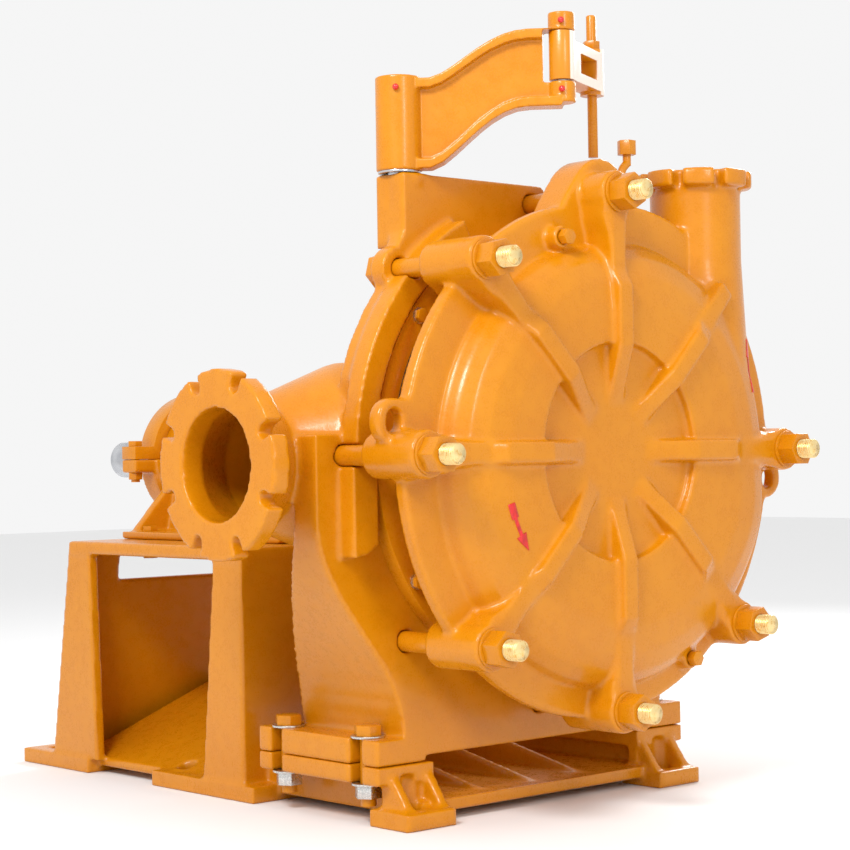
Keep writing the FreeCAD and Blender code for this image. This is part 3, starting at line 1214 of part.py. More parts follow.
def base():
    """Fabricated bedplate: table for the bearings, open front for the pump frame."""
    parts = [box(-BASE_HALF_W + 2, BASE_HALF_W - 2, TABLE_FRONT_Y, TABLE_REAR_Y,
                 TABLE_TOP_Z - TABLE_T, TABLE_TOP_Z), rear_wall(), cross_wall()]
    parts += front_tray()
    for side in (-1, 1):
        parts.append(foot_block(BASE_FRONT_Y, BASE_FRONT_Y + BASE_FOOT_LEN, BASE_FOOT_INNER_X, side))
        parts.append(foot_block(TABLE_FRONT_Y - 34, MIDDLE_ANCHOR_Y + 22 + BASE_FOOT_T,
                                BASE_FOOT_INNER_X, side))
        parts.append(foot_block(TABLE_REAR_Y - 73, BASE_REAR_Y, BASE_FOOT_INNER_X, side))
        parts += [base_side_post(side), front_pad(side), sloped_floor(side)]
        strip = box(-BASE_FOOT_INNER_X - 40, -BASE_FOOT_INNER_X, BASE_FRONT_Y + 60, TABLE_REAR_Y, 13.0, 31.0)
        parts.append(strip if side < 0 else mirrored_x(strip))
        parts.append(cyl_z(29.0, BASE_FOOT_T - 1, BASE_FOOT_T + 4, side * ANCHOR_X, MIDDLE_ANCHOR_Y))
    body = fuse(parts)
    tools = []
    for x in (-ANCHOR_X, ANCHOR_X):
        for y in (-ANCHOR_Y, MIDDLE_ANCHOR_Y, ANCHOR_Y):
            tools.append(cyl_z(ANCHOR_R, -1, BASE_FOOT_T + 60, x, y))
    for x in (-PEDESTAL_BOLT_X, PEDESTAL_BOLT_X):
        for y in PEDESTAL_BOLT_YS:
            tools.append(cyl_z(9.5, TABLE_TOP_Z - TABLE_T - 1, TABLE_TOP_Z + 1, x, y))
    return largest(cut(body, tools))


# ---------------------------------------------------------------- davit
def along_arm(shape):
    """Move a shape built along +X from the origin onto the arm, at its parked angle."""
    copy = shape.copy()
    copy.rotate(ORIGIN, AXIS_Z, ARM_ANGLE)
    copy.translate(V(PIVOT_X, PIVOT_Y, 0))
    return copy


def arm_curve(z_hub, z_fork, inset):
    """Side-view S of the arm between the hub and the fork, as (s, z) pairs."""
    start, end = PIVOT_HUB_R + 18, ARM_LENGTH - 62
    pairs = [(0.0, z_hub + inset)]
    steps = 8
    for k in range(steps + 1):
        share = k / steps
        eased = 0.5 - 0.5 * math.cos(math.pi * min(share ** 0.78, 1.0))
        pairs.append((start + (end - start) * share, z_hub + inset + (z_fork - z_hub) * eased))
    pairs.append((ARM_LENGTH, z_fork + inset))
    return pairs


def swept_flange(z_hub, z_fork, thickness):
    low = arm_curve(z_hub, z_fork, 0.0)
    high = arm_curve(z_hub, z_fork, thickness)
    outline = low + list(reversed(high))
    half = ARM_FLANGE_W / 2
    points = [V(s, -half, z) for s, z in outline]
    return polygon_face(points).extrude(V(0, ARM_FLANGE_W, 0))


def davit_arm():
    """Cast I-section jib with a long hub on the pivot pin and a fork at its tip."""
    top_hub = DAVIT_HUB_TOP_Z - ARM_FLANGE_T
    low_hub = DAVIT_LOW_Z + 3
    top_fork = BARREL_TOP_Z - ARM_FLANGE_T + 4
    low_fork = BARREL_LOW_Z - ARM_FLANGE_T - 30
    web = arm_curve(low_hub, low_fork, 2.0) + list(reversed(arm_curve(top_hub, top_fork, 2.0)))
    points = [V(s, -ARM_WEB_T / 2, z) for s, z in web]
    parts = [polygon_face(points).extrude(V(0, ARM_WEB_T, 0)),
             swept_flange(top_hub, top_fork, ARM_FLANGE_T), swept_flange(low_hub, low_fork, ARM_FLANGE_T),
             cyl_z(PIVOT_HUB_R, DAVIT_LOW_Z, DAVIT_HUB_TOP_Z + 5, 0, 0),
             cyl_z(FORK_R, FORK_LOW_Z, FORK_TOP_Z, ARM_LENGTH, 0)]
    tools = [cyl_z(PIVOT_PIN_R + RUNNING_FIT, DAVIT_LOW_Z - 1, DAVIT_HUB_TOP_Z - 10, 0, 0),
             box(ARM_LENGTH - FORK_R - 10, ARM_LENGTH + FORK_R + 30, -60, 60,
                 BARREL_LOW_Z - 1.5, BARREL_TOP_Z + 1.5),
             cyl_z(SWIVEL_PIN_R + RUNNING_FIT, FORK_LOW_Z + 8, FORK_TOP_Z - 8, ARM_LENGTH, 0)]
    return along_arm(largest(cut(fuse(parts), tools)))


def davit_pin():
    return cyl_z(PIVOT_PIN_R, HEAD_TOP_Z - 68, DAVIT_HUB_TOP_Z - 12, PIVOT_X, PIVOT_Y)


def davit_thrust_washer():
    return washer(PIVOT_HUB_R - 3, PIVOT_PIN_R + RUNNING_FIT, V(PIVOT_X, PIVOT_Y, HEAD_TOP_Z + 2),
                  AXIS_Z, DAVIT_LOW_Z - HEAD_TOP_Z - 2.0)


def swivel_pin():
    return cyl_z(SWIVEL_PIN_R, FORK_LOW_Z + 9, FORK_TOP_Z - 9, FORK_X, FORK_Y)


def grease_caps():
    """Round grease caps on the hub and both fork bosses, on the left side of the arm."""
    made = []
    for s, radius, z in ((0.0, PIVOT_HUB_R, DAVIT_HUB_TOP_Z - 20), (ARM_LENGTH, FORK_R, FORK_TOP_Z - 18),
                         (ARM_LENGTH, FORK_R, FORK_LOW_Z + 22)):
        cap = fuse([cyl(4.0, V(s, -radius + 4, z), AXIS_Y * -1, 8.0),
                    Part.makeSphere(6.0, V(s, -radius - 5, z))])
        made.append(along_arm(cap.cut(cyl_z(radius, z - 20, z + 20, s, 0))))
    return made


def block_angle():
    return math.degrees(math.atan2(ROD_Y - FORK_Y, ROD_X - FORK_X))


def hanger_block():
    """Yoke on the swivel pin with a window, bored for the lifting rod at its outer end."""
    reach = math.hypot(ROD_X - FORK_X, ROD_Y - FORK_Y)
    half = BLOCK_W / 2
    body = [cyl_z(FORK_R - 1, BARREL_LOW_Z, BARREL_TOP_Z, 0, 0),
            box(0, reach, -half, half, BLOCK_LOW_Z + 6, BLOCK_TOP_Z - 8),
            cyl_z(half, BLOCK_LOW_Z, BLOCK_TOP_Z, reach, 0)]
    tools = [cyl_z(SWIVEL_PIN_R + RUNNING_FIT, BARREL_LOW_Z - 1, BARREL_TOP_Z + 1, 0, 0),
             box(FORK_R + 14, reach - 28, -half - 1, half + 1, BLOCK_LOW_Z + 24, BLOCK_TOP_Z - 26),
             cyl_z(ROD_R + RUNNING_FIT, BLOCK_LOW_Z - 1, BLOCK_TOP_Z + 1, reach, 0),
             cyl_z(FORK_R + 3, BLOCK_LOW_Z - 1, BARREL_LOW_Z + 2, 0, 0).cut(
                 cyl_z(1, BLOCK_LOW_Z, BARREL_LOW_Z, 900, 0))]
    block = largest(cut(fuse(body), tools))
    block.rotate(ORIGIN, AXIS_Z, block_angle())
    block.translate(V(FORK_X, FORK_Y, 0))
    return block


def hanger_rod():
    rod = cyl_z(ROD_R, ROD_LOW_Z, ROD_TOP_Z - 2, ROD_X, ROD_Y)
    tip = Part.makeCone(ROD_R, ROD_R - 2, 2.0, V(ROD_X, ROD_Y, ROD_TOP_Z - 2), AXIS_Z)
    return fuse([rod, tip])


def lifting_nut():
    seat = V(ROD_X, ROD_Y, BLOCK_TOP_Z + SEAT_GAP)
    return drilled_nut(28.6, ROD_R + RUNNING_FIT, seat, AXIS_Z, 17.0)


# ---------------------------------------------------------------- build
def build():
    pipe, tip = vent_pipe()
    single = {
        "base": base(), "pump_frame": pump_frame(), "casing": casing(),
        "suction_cover": suction_cover(), "casing_gasket": casing_gasket(),
        "vent_pipe": pipe, "vent_cap": vent_cap(tip), "impeller": impeller(), "shaft": shaft(),
        "shaft_sleeve": shaft_sleeve(), "expeller": expeller(),
        "seal_housing": seal_housing(), "gland": gland(), "cartridge": cartridge(),
        "bearing_cover_rear": bearing_cover(CARTRIDGE_REAR_Y - BEARING_COVER_T, 1, SHAFT_COLLAR_R,
                                            rear_block_end()),
        "bearing_cover_front": bearing_cover(CARTRIDGE_FRONT_Y + BEARING_COVER_T, -1, SHAFT_SEAL_R,
                                             BEARING_FRONT_Y),
        "bearing_locknut": locknut(), "flinger": flinger(), "bearing_pedestal": pedestal(),
        "davit_arm": davit_arm(), "davit_pin": davit_pin(), "davit_thrust_washer": davit_thrust_washer(),
        "swivel_pin": swivel_pin(), "hanger_block": hanger_block(), "hanger_rod": hanger_rod(),
        "lifting_nut": lifting_nut(),
    }
    groups = {
        "casing_plugs": plugs(), "casing_studs": studs(), "stud_nuts": stud_nuts(),
        "stud_washers": stud_washers(), "cover_bolts": cover_bolts(), "cover_washers": cover_washers(),
        "seal_bolts": seal_bolts(), "packing_rings": packing_rings(), "gland_studs": gland_studs(),
        "bearing_front": bearing(BEARING_FRONT_Y, SHAFT_SEAL_R),
        "bearing_rear": bearing(BEARING_REAR_Y, SHAFT_HUB_R + 10) + bearing(
            BEARING_REAR_Y + BEARING_W, SHAFT_HUB_R + 10),
        "bearing_cover_screws": cover_screws(), "clamp_caps": clamp_caps(), "clamp_bolts": clamp_bolts(),
        "pedestal_bolts": pedestal_bolts(), "frame_bolts": frame_bolts(), "frame_washers": frame_washers(),
        "frame_nuts": frame_nuts(), "grease_caps": grease_caps(),
    }
    os.makedirs("parts", exist_ok=True)
    for name, shape in single.items():
        export(name, shape)
    for name, shapes in groups.items():
        export(name, Part.makeCompound(shapes))


build()
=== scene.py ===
"""Dresses the slurry pump: enamel over cast iron, bare steel, plated fasteners, threads and arrows."""
import json
import math

import bmesh
import bpy
import numpy as np
from mathutils import Matrix, Vector
from mathutils.bvhtree import BVHTree


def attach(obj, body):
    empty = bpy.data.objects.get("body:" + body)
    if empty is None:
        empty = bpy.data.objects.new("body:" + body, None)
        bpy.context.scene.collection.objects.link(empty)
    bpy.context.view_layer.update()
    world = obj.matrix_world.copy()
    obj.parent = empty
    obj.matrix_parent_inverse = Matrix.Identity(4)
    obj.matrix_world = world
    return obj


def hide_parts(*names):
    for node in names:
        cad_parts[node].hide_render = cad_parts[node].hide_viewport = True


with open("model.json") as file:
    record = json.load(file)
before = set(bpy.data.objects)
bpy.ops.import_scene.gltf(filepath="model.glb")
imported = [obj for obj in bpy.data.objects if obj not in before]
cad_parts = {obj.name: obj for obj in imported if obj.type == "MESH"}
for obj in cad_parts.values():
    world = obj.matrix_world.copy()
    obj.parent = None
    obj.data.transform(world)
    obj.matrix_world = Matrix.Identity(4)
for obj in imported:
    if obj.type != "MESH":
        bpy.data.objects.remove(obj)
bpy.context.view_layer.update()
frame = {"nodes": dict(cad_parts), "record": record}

bl_info = {
    "name": "Slurry Pump Dresser",
    "version": (1, 0, 0),
    "blender": (4, 5, 0),
    "location": "View3D > Sidebar > Pump",
    "description": "Builds the finished look of a slurry pump over its engineering frame",
    "category": "Add Mesh",
}

NODES = frame["nodes"]
# Plane of the yoke's broad side faces; the hanger enamel paints a pale cream highlight on them.
YOKE_ANGLE = math.atan2(0.059, 0.143)
YOKE_SIDE = (math.sin(YOKE_ANGLE), -math.cos(YOKE_ANGLE), 0.0)
YOKE_OFFSET = -0.096 * YOKE_SIDE[0] - 0.784 * YOKE_SIDE[1]


# ---------------------------------------------------------------- settings
class PumpLook(bpy.types.PropertyGroup):
    """Sizes and colours that a user may change before building."""
    paint: bpy.props.FloatVectorProperty(
        name="Paint", description="Enamel colour of all castings", subtype="COLOR", size=3,
        min=0.0, max=1.0, default=(0.60, 0.215, 0.0010))
    arrow_red: bpy.props.FloatVectorProperty(
        name="Arrow red", description="Colour of flow arrows and grease caps", subtype="COLOR", size=3,
        min=0.0, max=1.0, default=(0.70, 0.012, 0.010))
    peel: bpy.props.FloatProperty(
        name="Casting texture", description="Height of the sand-cast skin under the paint",
        default=0.0007, min=0.0, unit="LENGTH")
    voxel: bpy.props.FloatProperty(
        name="Casting grid", description="Grid that castings are resurfaced on", default=0.0050,
        min=0.002, unit="LENGTH")
    thread_pitch: bpy.props.FloatProperty(
        name="Stud pitch", description="Thread pitch of the casing studs", default=0.00423,
        min=0.001, unit="LENGTH")
    thread_depth: bpy.props.FloatProperty(
        name="Stud thread depth", description="Radial depth of the stud thread", default=0.0023,
        min=0.0002, unit="LENGTH")
    floor_grey: bpy.props.FloatProperty(
        name="Floor", description="Brightness of the studio floor", default=0.86, min=0.0, max=1.0)


def look():
    return bpy.context.scene.pump_look


# ---------------------------------------------------------------- shader maths
class Sock:
    """Wraps an output socket so that shader maths reads as arithmetic."""

    def __init__(self, tree, socket):
        self.tree = tree
        self.socket = socket

    def maths(self, operation, *others, clamp=False):
        node = self.tree.nodes.new("ShaderNodeMath")
        node.operation = operation
        node.use_clamp = clamp
        for index, value in enumerate((self,) + others):
            feed(self.tree, value, node.inputs[index])
        return Sock(self.tree, node.outputs[0])

    def __add__(self, other):
        return self.maths("ADD", other)

    def __sub__(self, other):
        return self.maths("SUBTRACT", other)

    def __mul__(self, other):
        return self.maths("MULTIPLY", other)

    def __truediv__(self, other):
        return self.maths("DIVIDE", other)

    def __pow__(self, other):
        return self.maths("POWER", other)

    def ramp(self, low, high, to_low=0.0, to_high=1.0):
        node = self.tree.nodes.new("ShaderNodeMapRange")
        node.interpolation_type = "SMOOTHSTEP"
        feed(self.tree, self, node.inputs["Value"])
        for name, value in (("From Min", low), ("From Max", high), ("To Min", to_low), ("To Max", to_high)):
            node.inputs[name].default_value = value
        return Sock(self.tree, node.outputs["Result"])


def feed(tree, value, socket):
    if isinstance(value, Sock):
        tree.links.new(value.socket, socket)
    else:
        socket.default_value = value


class Shader:
    """A Principled material with Object coordinates and short helpers for textures."""

    def __init__(self, name, base, roughness, metallic=0.0):
        self.material = bpy.data.materials.new(name)
        self.material.use_nodes = True
        self.tree = self.material.node_tree
        self.bsdf = self.tree.nodes["Principled BSDF"]
        self.bsdf.inputs["Base Color"].default_value = (*base, 1.0)
        self.bsdf.inputs["Roughness"].default_value = roughness
        self.bsdf.inputs["Metallic"].default_value = metallic
        self.coords = self.tree.nodes.new("ShaderNodeTexCoord").outputs["Object"]

    def scaled(self, scale):
        node = self.tree.nodes.new("ShaderNodeMapping")
        node.inputs["Scale"].default_value = scale
        self.tree.links.new(self.coords, node.inputs["Vector"])
        return node.outputs["Vector"]

    def noise(self, scale, detail=2.0, rough=0.5, stretch=None):
        node = self.tree.nodes.new("ShaderNodeTexNoise")
        node.inputs["Scale"].default_value = scale
        node.inputs["Detail"].default_value = detail
        node.inputs["Roughness"].default_value = rough
        source = self.scaled(stretch) if stretch else self.coords
        self.tree.links.new(source, node.inputs["Vector"])
        return Sock(self.tree, node.outputs["Fac"])

    def voronoi(self, scale):
        node = self.tree.nodes.new("ShaderNodeTexVoronoi")
        node.feature = "SMOOTH_F1"
        node.inputs["Scale"].default_value = scale
        self.tree.links.new(self.coords, node.inputs["Vector"])
        return Sock(self.tree, node.outputs["Distance"])

    def wave(self, scale, direction, distortion=0.0):
        node = self.tree.nodes.new("ShaderNodeTexWave")
        node.bands_direction = direction
        node.inputs["Scale"].default_value = scale
        node.inputs["Distortion"].default_value = distortion
        self.tree.links.new(self.coords, node.inputs["Vector"])
        return Sock(self.tree, node.outputs["Fac"])

    def beyond(self, normal, offset):
        """Distance of the surface point beyond a plane, in metres."""
        node = self.tree.nodes.new("ShaderNodeVectorMath")
        node.operation = "DOT_PRODUCT"
        self.tree.links.new(self.coords, node.inputs[0])
        node.inputs[1].default_value = normal
        return Sock(self.tree, node.outputs["Value"]) - offset

    def edges(self):
        node = self.tree.nodes.new("ShaderNodeNewGeometry")
        return Sock(self.tree, node.outputs["Pointiness"])

    def mixed(self, factor, low, high):
        node = self.tree.nodes.new("ShaderNodeMix")
        node.data_type = "RGBA"
        feed(self.tree, factor, node.inputs[0])
        for value, socket in ((low, node.inputs[6]), (high, node.inputs[7])):
            if isinstance(value, Sock):
                self.tree.links.new(value.socket, socket)
            else:
                socket.default_value = (*value, 1.0)
        return Sock(self.tree, node.outputs[2])

    def colour(self, sock):
        self.tree.links.new(sock.socket, self.bsdf.inputs["Base Color"])

    def roughness(self, sock):
        self.tree.links.new(sock.socket, self.bsdf.inputs["Roughness"])

    def bump(self, height, distance, strength=1.0):
        node = self.tree.nodes.new("ShaderNodeBump")
        node.inputs["Distance"].default_value = distance
        node.inputs["Strength"].default_value = strength
        self.tree.links.new(height.socket, node.inputs["Height"])
        self.tree.links.new(node.outputs["Normal"], self.bsdf.inputs["Normal"])

    def coat(self, weight, roughness):
        self.bsdf.inputs["Coat Weight"].default_value = weight
        self.bsdf.inputs["Coat Roughness"].default_value = roughness


def tinted(rgb, factor):
    return tuple(min(1.0, channel * factor) for channel in rgb)


def enamel(name, grain=1.0, tone=1.0):
    """Thick gloss enamel over sand-cast iron: fine grain, soft waves, deeper colour in pools."""
    base = tinted(look().paint, tone)
    shade = Shader(name, base, 0.30)
    broad = shade.noise(3.5, 3.0)
    mottled = shade.noise(38.0, 4.0, 0.6)
    grain_field = shade.noise(260.0, 3.0, 0.55)
    pits = shade.voronoi(150.0)
    dark = tuple(c * f for c, f in zip(base, (0.93, 0.88, 0.8)))
    light = tuple(min(1.0, c * f) for c, f in zip(base, (1.03, 1.05, 1.2)))
    shade.colour(shade.mixed((broad * 0.6 + mottled * 0.4).ramp(0.3, 0.7), dark, light))
    shade.roughness((mottled * 0.5 + grain_field * 0.5).ramp(0.3, 0.75, 0.22, 0.40))
    height = grain_field * 0.5 + mottled * 0.35 + pits * 0.25
    shade.bump(height, look().peel * grain, 0.5)
    shade.coat(0.16, 0.10)
    shade.bsdf.inputs["Specular IOR Level"].default_value = 0.36
    return shade.material


def hanger_enamel_painted_highlight():
    """Enamel, with a painted highlight in pale cream on the yoke's two broad side faces."""
    base = look().paint
    shade = Shader("hanger_enamel_painted_highlight", base, 0.32)
    grain_field = shade.noise(240.0, 3.0)
    facing = shade.beyond(YOKE_SIDE, YOKE_OFFSET)
    away = shade.beyond(tuple(-c for c in YOKE_SIDE), -YOKE_OFFSET)
    # Painted highlight: both broad side faces of the yoke, about 21 mm either side of the middle plane, get pale cream
    # in place of the enamel.
    painted_highlight_mask = facing.maths("MAXIMUM", away).ramp(0.0205, 0.0220)
    shade.colour(shade.mixed(painted_highlight_mask, base, (0.86, 0.76, 0.66)))
    shade.bump(grain_field, 0.0004, 0.5)
    shade.coat(0.2, 0.1)
    return shade.material


def bare_steel():
    """Turned steel: fine circular tool marks round the shaft and a light haze."""
    shade = Shader("bare_steel", (0.60, 0.61, 0.63), 0.22, 1.0)
    rings = shade.noise(60.0, 2.0, 0.5, stretch=(1.0, 40.0, 1.0))
    haze = shade.noise(14.0, 3.0)
    shade.roughness((rings * 0.6 + haze * 0.4).ramp(0.3, 0.7, 0.16, 0.34))
    shade.colour(shade.mixed(haze.ramp(0.35, 0.7), (0.66, 0.67, 0.69), (0.45, 0.46, 0.49)))
    shade.bump(rings, 0.0002, 0.5)
    return shade.material


def zinc():
    """Bright zinc plate with a faint crystalline mottling."""
    shade = Shader("zinc", (0.72, 0.72, 0.70), 0.3, 1.0)
    spots = shade.voronoi(420.0)
    cloud = shade.noise(90.0, 3.0)
    shade.colour(shade.mixed(spots.ramp(0.1, 0.6), (0.80, 0.79, 0.75), (0.55, 0.55, 0.54)))
    shade.roughness(cloud.ramp(0.3, 0.7, 0.2, 0.42))
    shade.bump(spots, 0.0002, 0.4)
    return shade.material


def dark_iron():
    """Hard chrome iron as cast: dark, granular, slightly rusty in the hollows."""
    shade = Shader("dark_iron", (0.16, 0.155, 0.15), 0.55, 0.85)
    grain_field = shade.noise(180.0, 4.0, 0.6)
    patch = shade.noise(9.0, 4.0)
    shade.colour(shade.mixed(patch.ramp(0.45, 0.75), (0.20, 0.195, 0.19), (0.16, 0.10, 0.06)))
    shade.roughness(grain_field.ramp(0.3, 0.7, 0.42, 0.7))
    shade.bump(grain_field, 0.0012, 0.6)
    return shade.material


def painted_thread():
    """Stud ends: enamel rubbed through to yellow-passivated steel on the thread crests."""
    shade = Shader("painted_thread", (0.80, 0.42, 0.10), 0.30, 0.75)
    wear = shade.noise(120.0, 4.0, 0.6)
    crest = shade.edges()
    factor = (wear * 0.7 + crest * 0.6).ramp(0.45, 0.72)
    shade.colour(shade.mixed(factor, (0.80, 0.40, 0.05), (0.86, 0.66, 0.30)))
    shade.roughness(wear.ramp(0.3, 0.7, 0.24, 0.45))
    shade.bump(wear, 0.0005, 0.5)
    shade.coat(0.3, 0.15)
    return shade.material


def red_plastic():
    """Moulded grease caps, glossy with a faint ripple."""
    shade = Shader("red_plastic", look().arrow_red, 0.25)
    ripple = shade.noise(300.0, 2.0)
    shade.colour(shade.mixed(ripple.ramp(0.3, 0.7), look().arrow_red, tinted(look().arrow_red, 0.75)))
    shade.bump(ripple, 0.0002, 0.4)
    shade.coat(0.5, 0.06)
    return shade.material


def red_paint():
    """Brushed-on signal red over the cast arrows, thin at the edges."""
    shade = Shader("red_paint", look().arrow_red, 0.38)
    streak = shade.noise(160.0, 3.0, 0.6, stretch=(1.0, 1.0, 0.4))
    shade.colour(shade.mixed(streak.ramp(0.3, 0.75), look().arrow_red, tinted(look().arrow_red, 0.6)))
    shade.bump(streak, 0.0006, 0.6)
    shade.coat(0.3, 0.12)
    return shade.material


def dull_black():
    shade = Shader("dull_black", (0.02, 0.02, 0.02), 0.7)
    weave = shade.noise(240.0, 3.0)
    shade.roughness(weave.ramp(0.3, 0.7, 0.55, 0.8))
    shade.bump(weave, 0.0005, 0.5)
    return shade.material


def packing_fibre():
    shade = Shader("packing_fibre", (0.24, 0.21, 0.15), 0.8)
    braid = shade.wave(140.0, "DIAGONAL", 1.5)
    shade.colour(shade.mixed(braid, (0.28, 0.25, 0.18), (0.12, 0.11, 0.09)))
    shade.bump(braid, 0.0008, 0.7)
    return shade.material


def bronze():
    shade = Shader("bronze", (0.55, 0.36, 0.15), 0.35, 1.0)
    haze = shade.noise(45.0, 4.0)
    shade.colour(shade.mixed(haze.ramp(0.35, 0.7), (0.62, 0.42, 0.19), (0.36, 0.23, 0.10)))
    shade.roughness(haze.ramp(0.3, 0.7, 0.25, 0.5))
    return shade.material


PAINTS = {}


def paint(name):
    """Materials are made once, on first use."""
    makers = {
        "casting": lambda: enamel("casting"), "plate": lambda: enamel("plate", 0.55),
        "smooth": lambda: enamel("smooth", 0.30), "hardware": lambda: enamel("hardware", 0.35, 0.97),
        "steel": bare_steel, "zinc": zinc, "iron": dark_iron, "thread": painted_thread,
        "hanger": hanger_enamel_painted_highlight, "cap": red_plastic, "arrow": red_paint, "gasket": dull_black, "packing": packing_fibre,
        "bronze": bronze,
    }
    if name not in PAINTS:
        PAINTS[name] = makers[name]()
    return PAINTS[name]


# ---------------------------------------------------------------- mesh helpers
def dress(obj, material):
    obj.data.materials.clear()
    obj.data.materials.append(paint(material))
    return obj


def piece(name, mesh, body, material):
    obj = bpy.data.objects.new(name, mesh)
    bpy.context.scene.collection.objects.link(obj)
    dress(obj, material)
    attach(obj, body)
    return obj


def body_of_node(node):
    for body, members in frame["record"]["behaviour"]["bodies"].items():
        if node in members:
            return body
    return "structure"


def smooth_flags(mesh, smooth=True):
    flags = np.full(len(mesh.polygons), smooth, dtype=bool)
    mesh.polygons.foreach_set("use_smooth", flags)


def angle_shading_group():
    """Node group that shades smooth across soft edges and keeps the hard ones."""
    group = bpy.data.node_groups.get("ShadeByAngle")
    if group:
        return group
    group = bpy.data.node_groups.new("ShadeByAngle", "GeometryNodeTree")
    group.interface.new_socket("Geometry", in_out="INPUT", socket_type="NodeSocketGeometry")
    group.interface.new_socket("Geometry", in_out="OUTPUT", socket_type="NodeSocketGeometry")
    enter = group.nodes.new("NodeGroupInput")
    leave = group.nodes.new("NodeGroupOutput")
    faces = group.nodes.new("GeometryNodeSetShadeSmooth")
    edges = group.nodes.new("GeometryNodeSetShadeSmooth")
    edges.domain = "EDGE"
    angle = group.nodes.new("GeometryNodeInputMeshEdgeAngle")
    test = group.nodes.new("FunctionNodeCompare")
    test.operation = "GREATER_THAN"
    test.inputs["B"].default_value = math.radians(32.0)
    group.links.new(enter.outputs[0], faces.inputs["Geometry"])
    group.links.new(faces.outputs[0], edges.inputs["Geometry"])
    group.links.new(angle.outputs["Unsigned Angle"], test.inputs["A"])
    group.links.new(test.outputs[0], edges.inputs["Selection"])
    edges.inputs["Shade Smooth"].default_value = False
    group.links.new(edges.outputs[0], leave.inputs[0])
    return group


def shade_by_angle(obj):
    modifier = obj.modifiers.new("shade", "NODES")
    modifier.node_group = angle_shading_group()


def machined(node, width, material, segments=2):
    """Weld, break the sharp edges and shade a node that keeps its engineering shape."""
    obj = NODES[node]
    weld = obj.modifiers.new("weld", "WELD")
    weld.merge_threshold = 0.00002
    flat = obj.modifiers.new("planes", "DECIMATE")
    flat.decimate_type = "DISSOLVE"
    flat.angle_limit = math.radians(0.6)
    if width > 0:
        bevel = obj.modifiers.new("edge", "BEVEL")
        bevel.width = width
        bevel.segments = segments
        bevel.limit_method = "ANGLE"
        bevel.angle_limit = math.radians(34.0)
    shade_by_angle(obj)
    dress(obj, material)
    return obj


def resurfaced(node, voxel, rounds, keep, shape=None):
    """Casting skin: the node's solid resurfaced on a fine grid and relaxed, so edges get fillets."""
    source = NODES[node]
    work = bpy.data.objects.new("work", source.data.copy())
    bpy.context.scene.collection.objects.link(work)
    weld = work.modifiers.new("weld", "WELD")
    weld.merge_threshold = 0.00002
    grid = work.modifiers.new("grid", "REMESH")
    grid.mode = "VOXEL"
    grid.voxel_size = voxel
    relax = work.modifiers.new("relax", "SMOOTH")
    relax.factor = 0.5
    relax.iterations = rounds
    thin = work.modifiers.new("thin", "DECIMATE")
    thin.ratio = keep
    graph = bpy.context.evaluated_depsgraph_get()
    graph.update()
    mesh = bpy.data.meshes.new_from_object(work.evaluated_get(graph))
    bpy.data.objects.remove(work)
    if shape:
        count = len(mesh.vertices)
        points = np.empty(count * 3)
        mesh.vertices.foreach_get("co", points)
        mesh.vertices.foreach_set("co", shape(points.reshape(-1, 3)).ravel())
        mesh.update()
    smooth_flags(mesh)
    mesh.name = node + "_skin"
    return mesh


def casting(node, material, voxel_factor=1.0, rounds=4, keep=0.45, shape=None):
    mesh = resurfaced(node, look().voxel * voxel_factor, rounds, keep, shape)
    obj = piece(node + "_skin", mesh, body_of_node(node), material)
    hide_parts(node)
    return obj


def grid_mesh(name, points, closed_u=False, closed_v=False, caps=False):
    """Mesh from an array of points [rows, columns, 3]; rows and columns may close on themselves."""
    rows, columns = points.shape[:2]
    index = np.arange(rows * columns).reshape(rows, columns)
    next_row = np.roll(index, -1, 0) if closed_u else index[1:]
    here = index if closed_u else index[:-1]
    next_row = next_row[:here.shape[0]]
    if closed_v:
        quads = np.stack([here, np.roll(here, -1, 1), np.roll(next_row, -1, 1), next_row], -1)
    else:
        quads = np.stack([here[:, :-1], here[:, 1:], next_row[:, 1:], next_row[:, :-1]], -1)
    quads = quads.reshape(-1, 4)
    verts = points.reshape(-1, 3)
    faces = [tuple(int(i) for i in quad) for quad in quads]
    if caps:
        faces.append(tuple(int(i) for i in index[0][::-1]))
        faces.append(tuple(int(i) for i in index[-1]))
    mesh = bpy.data.meshes.new(name)
    mesh.from_pydata([tuple(map(float, v)) for v in verts], [], faces)
    mesh.validate()
    smooth_flags(mesh)
    return mesh


def joined_meshes(name, meshes):
    build = bmesh.new()
    for mesh in meshes:
        build.from_mesh(mesh)
    bmesh.ops.recalc_face_normals(build, faces=build.faces)
    result = bpy.data.meshes.new(name)
    build.to_mesh(result)
    build.free()
    smooth_flags(result)
    for mesh in meshes:
        bpy.data.meshes.remove(mesh)
    return result


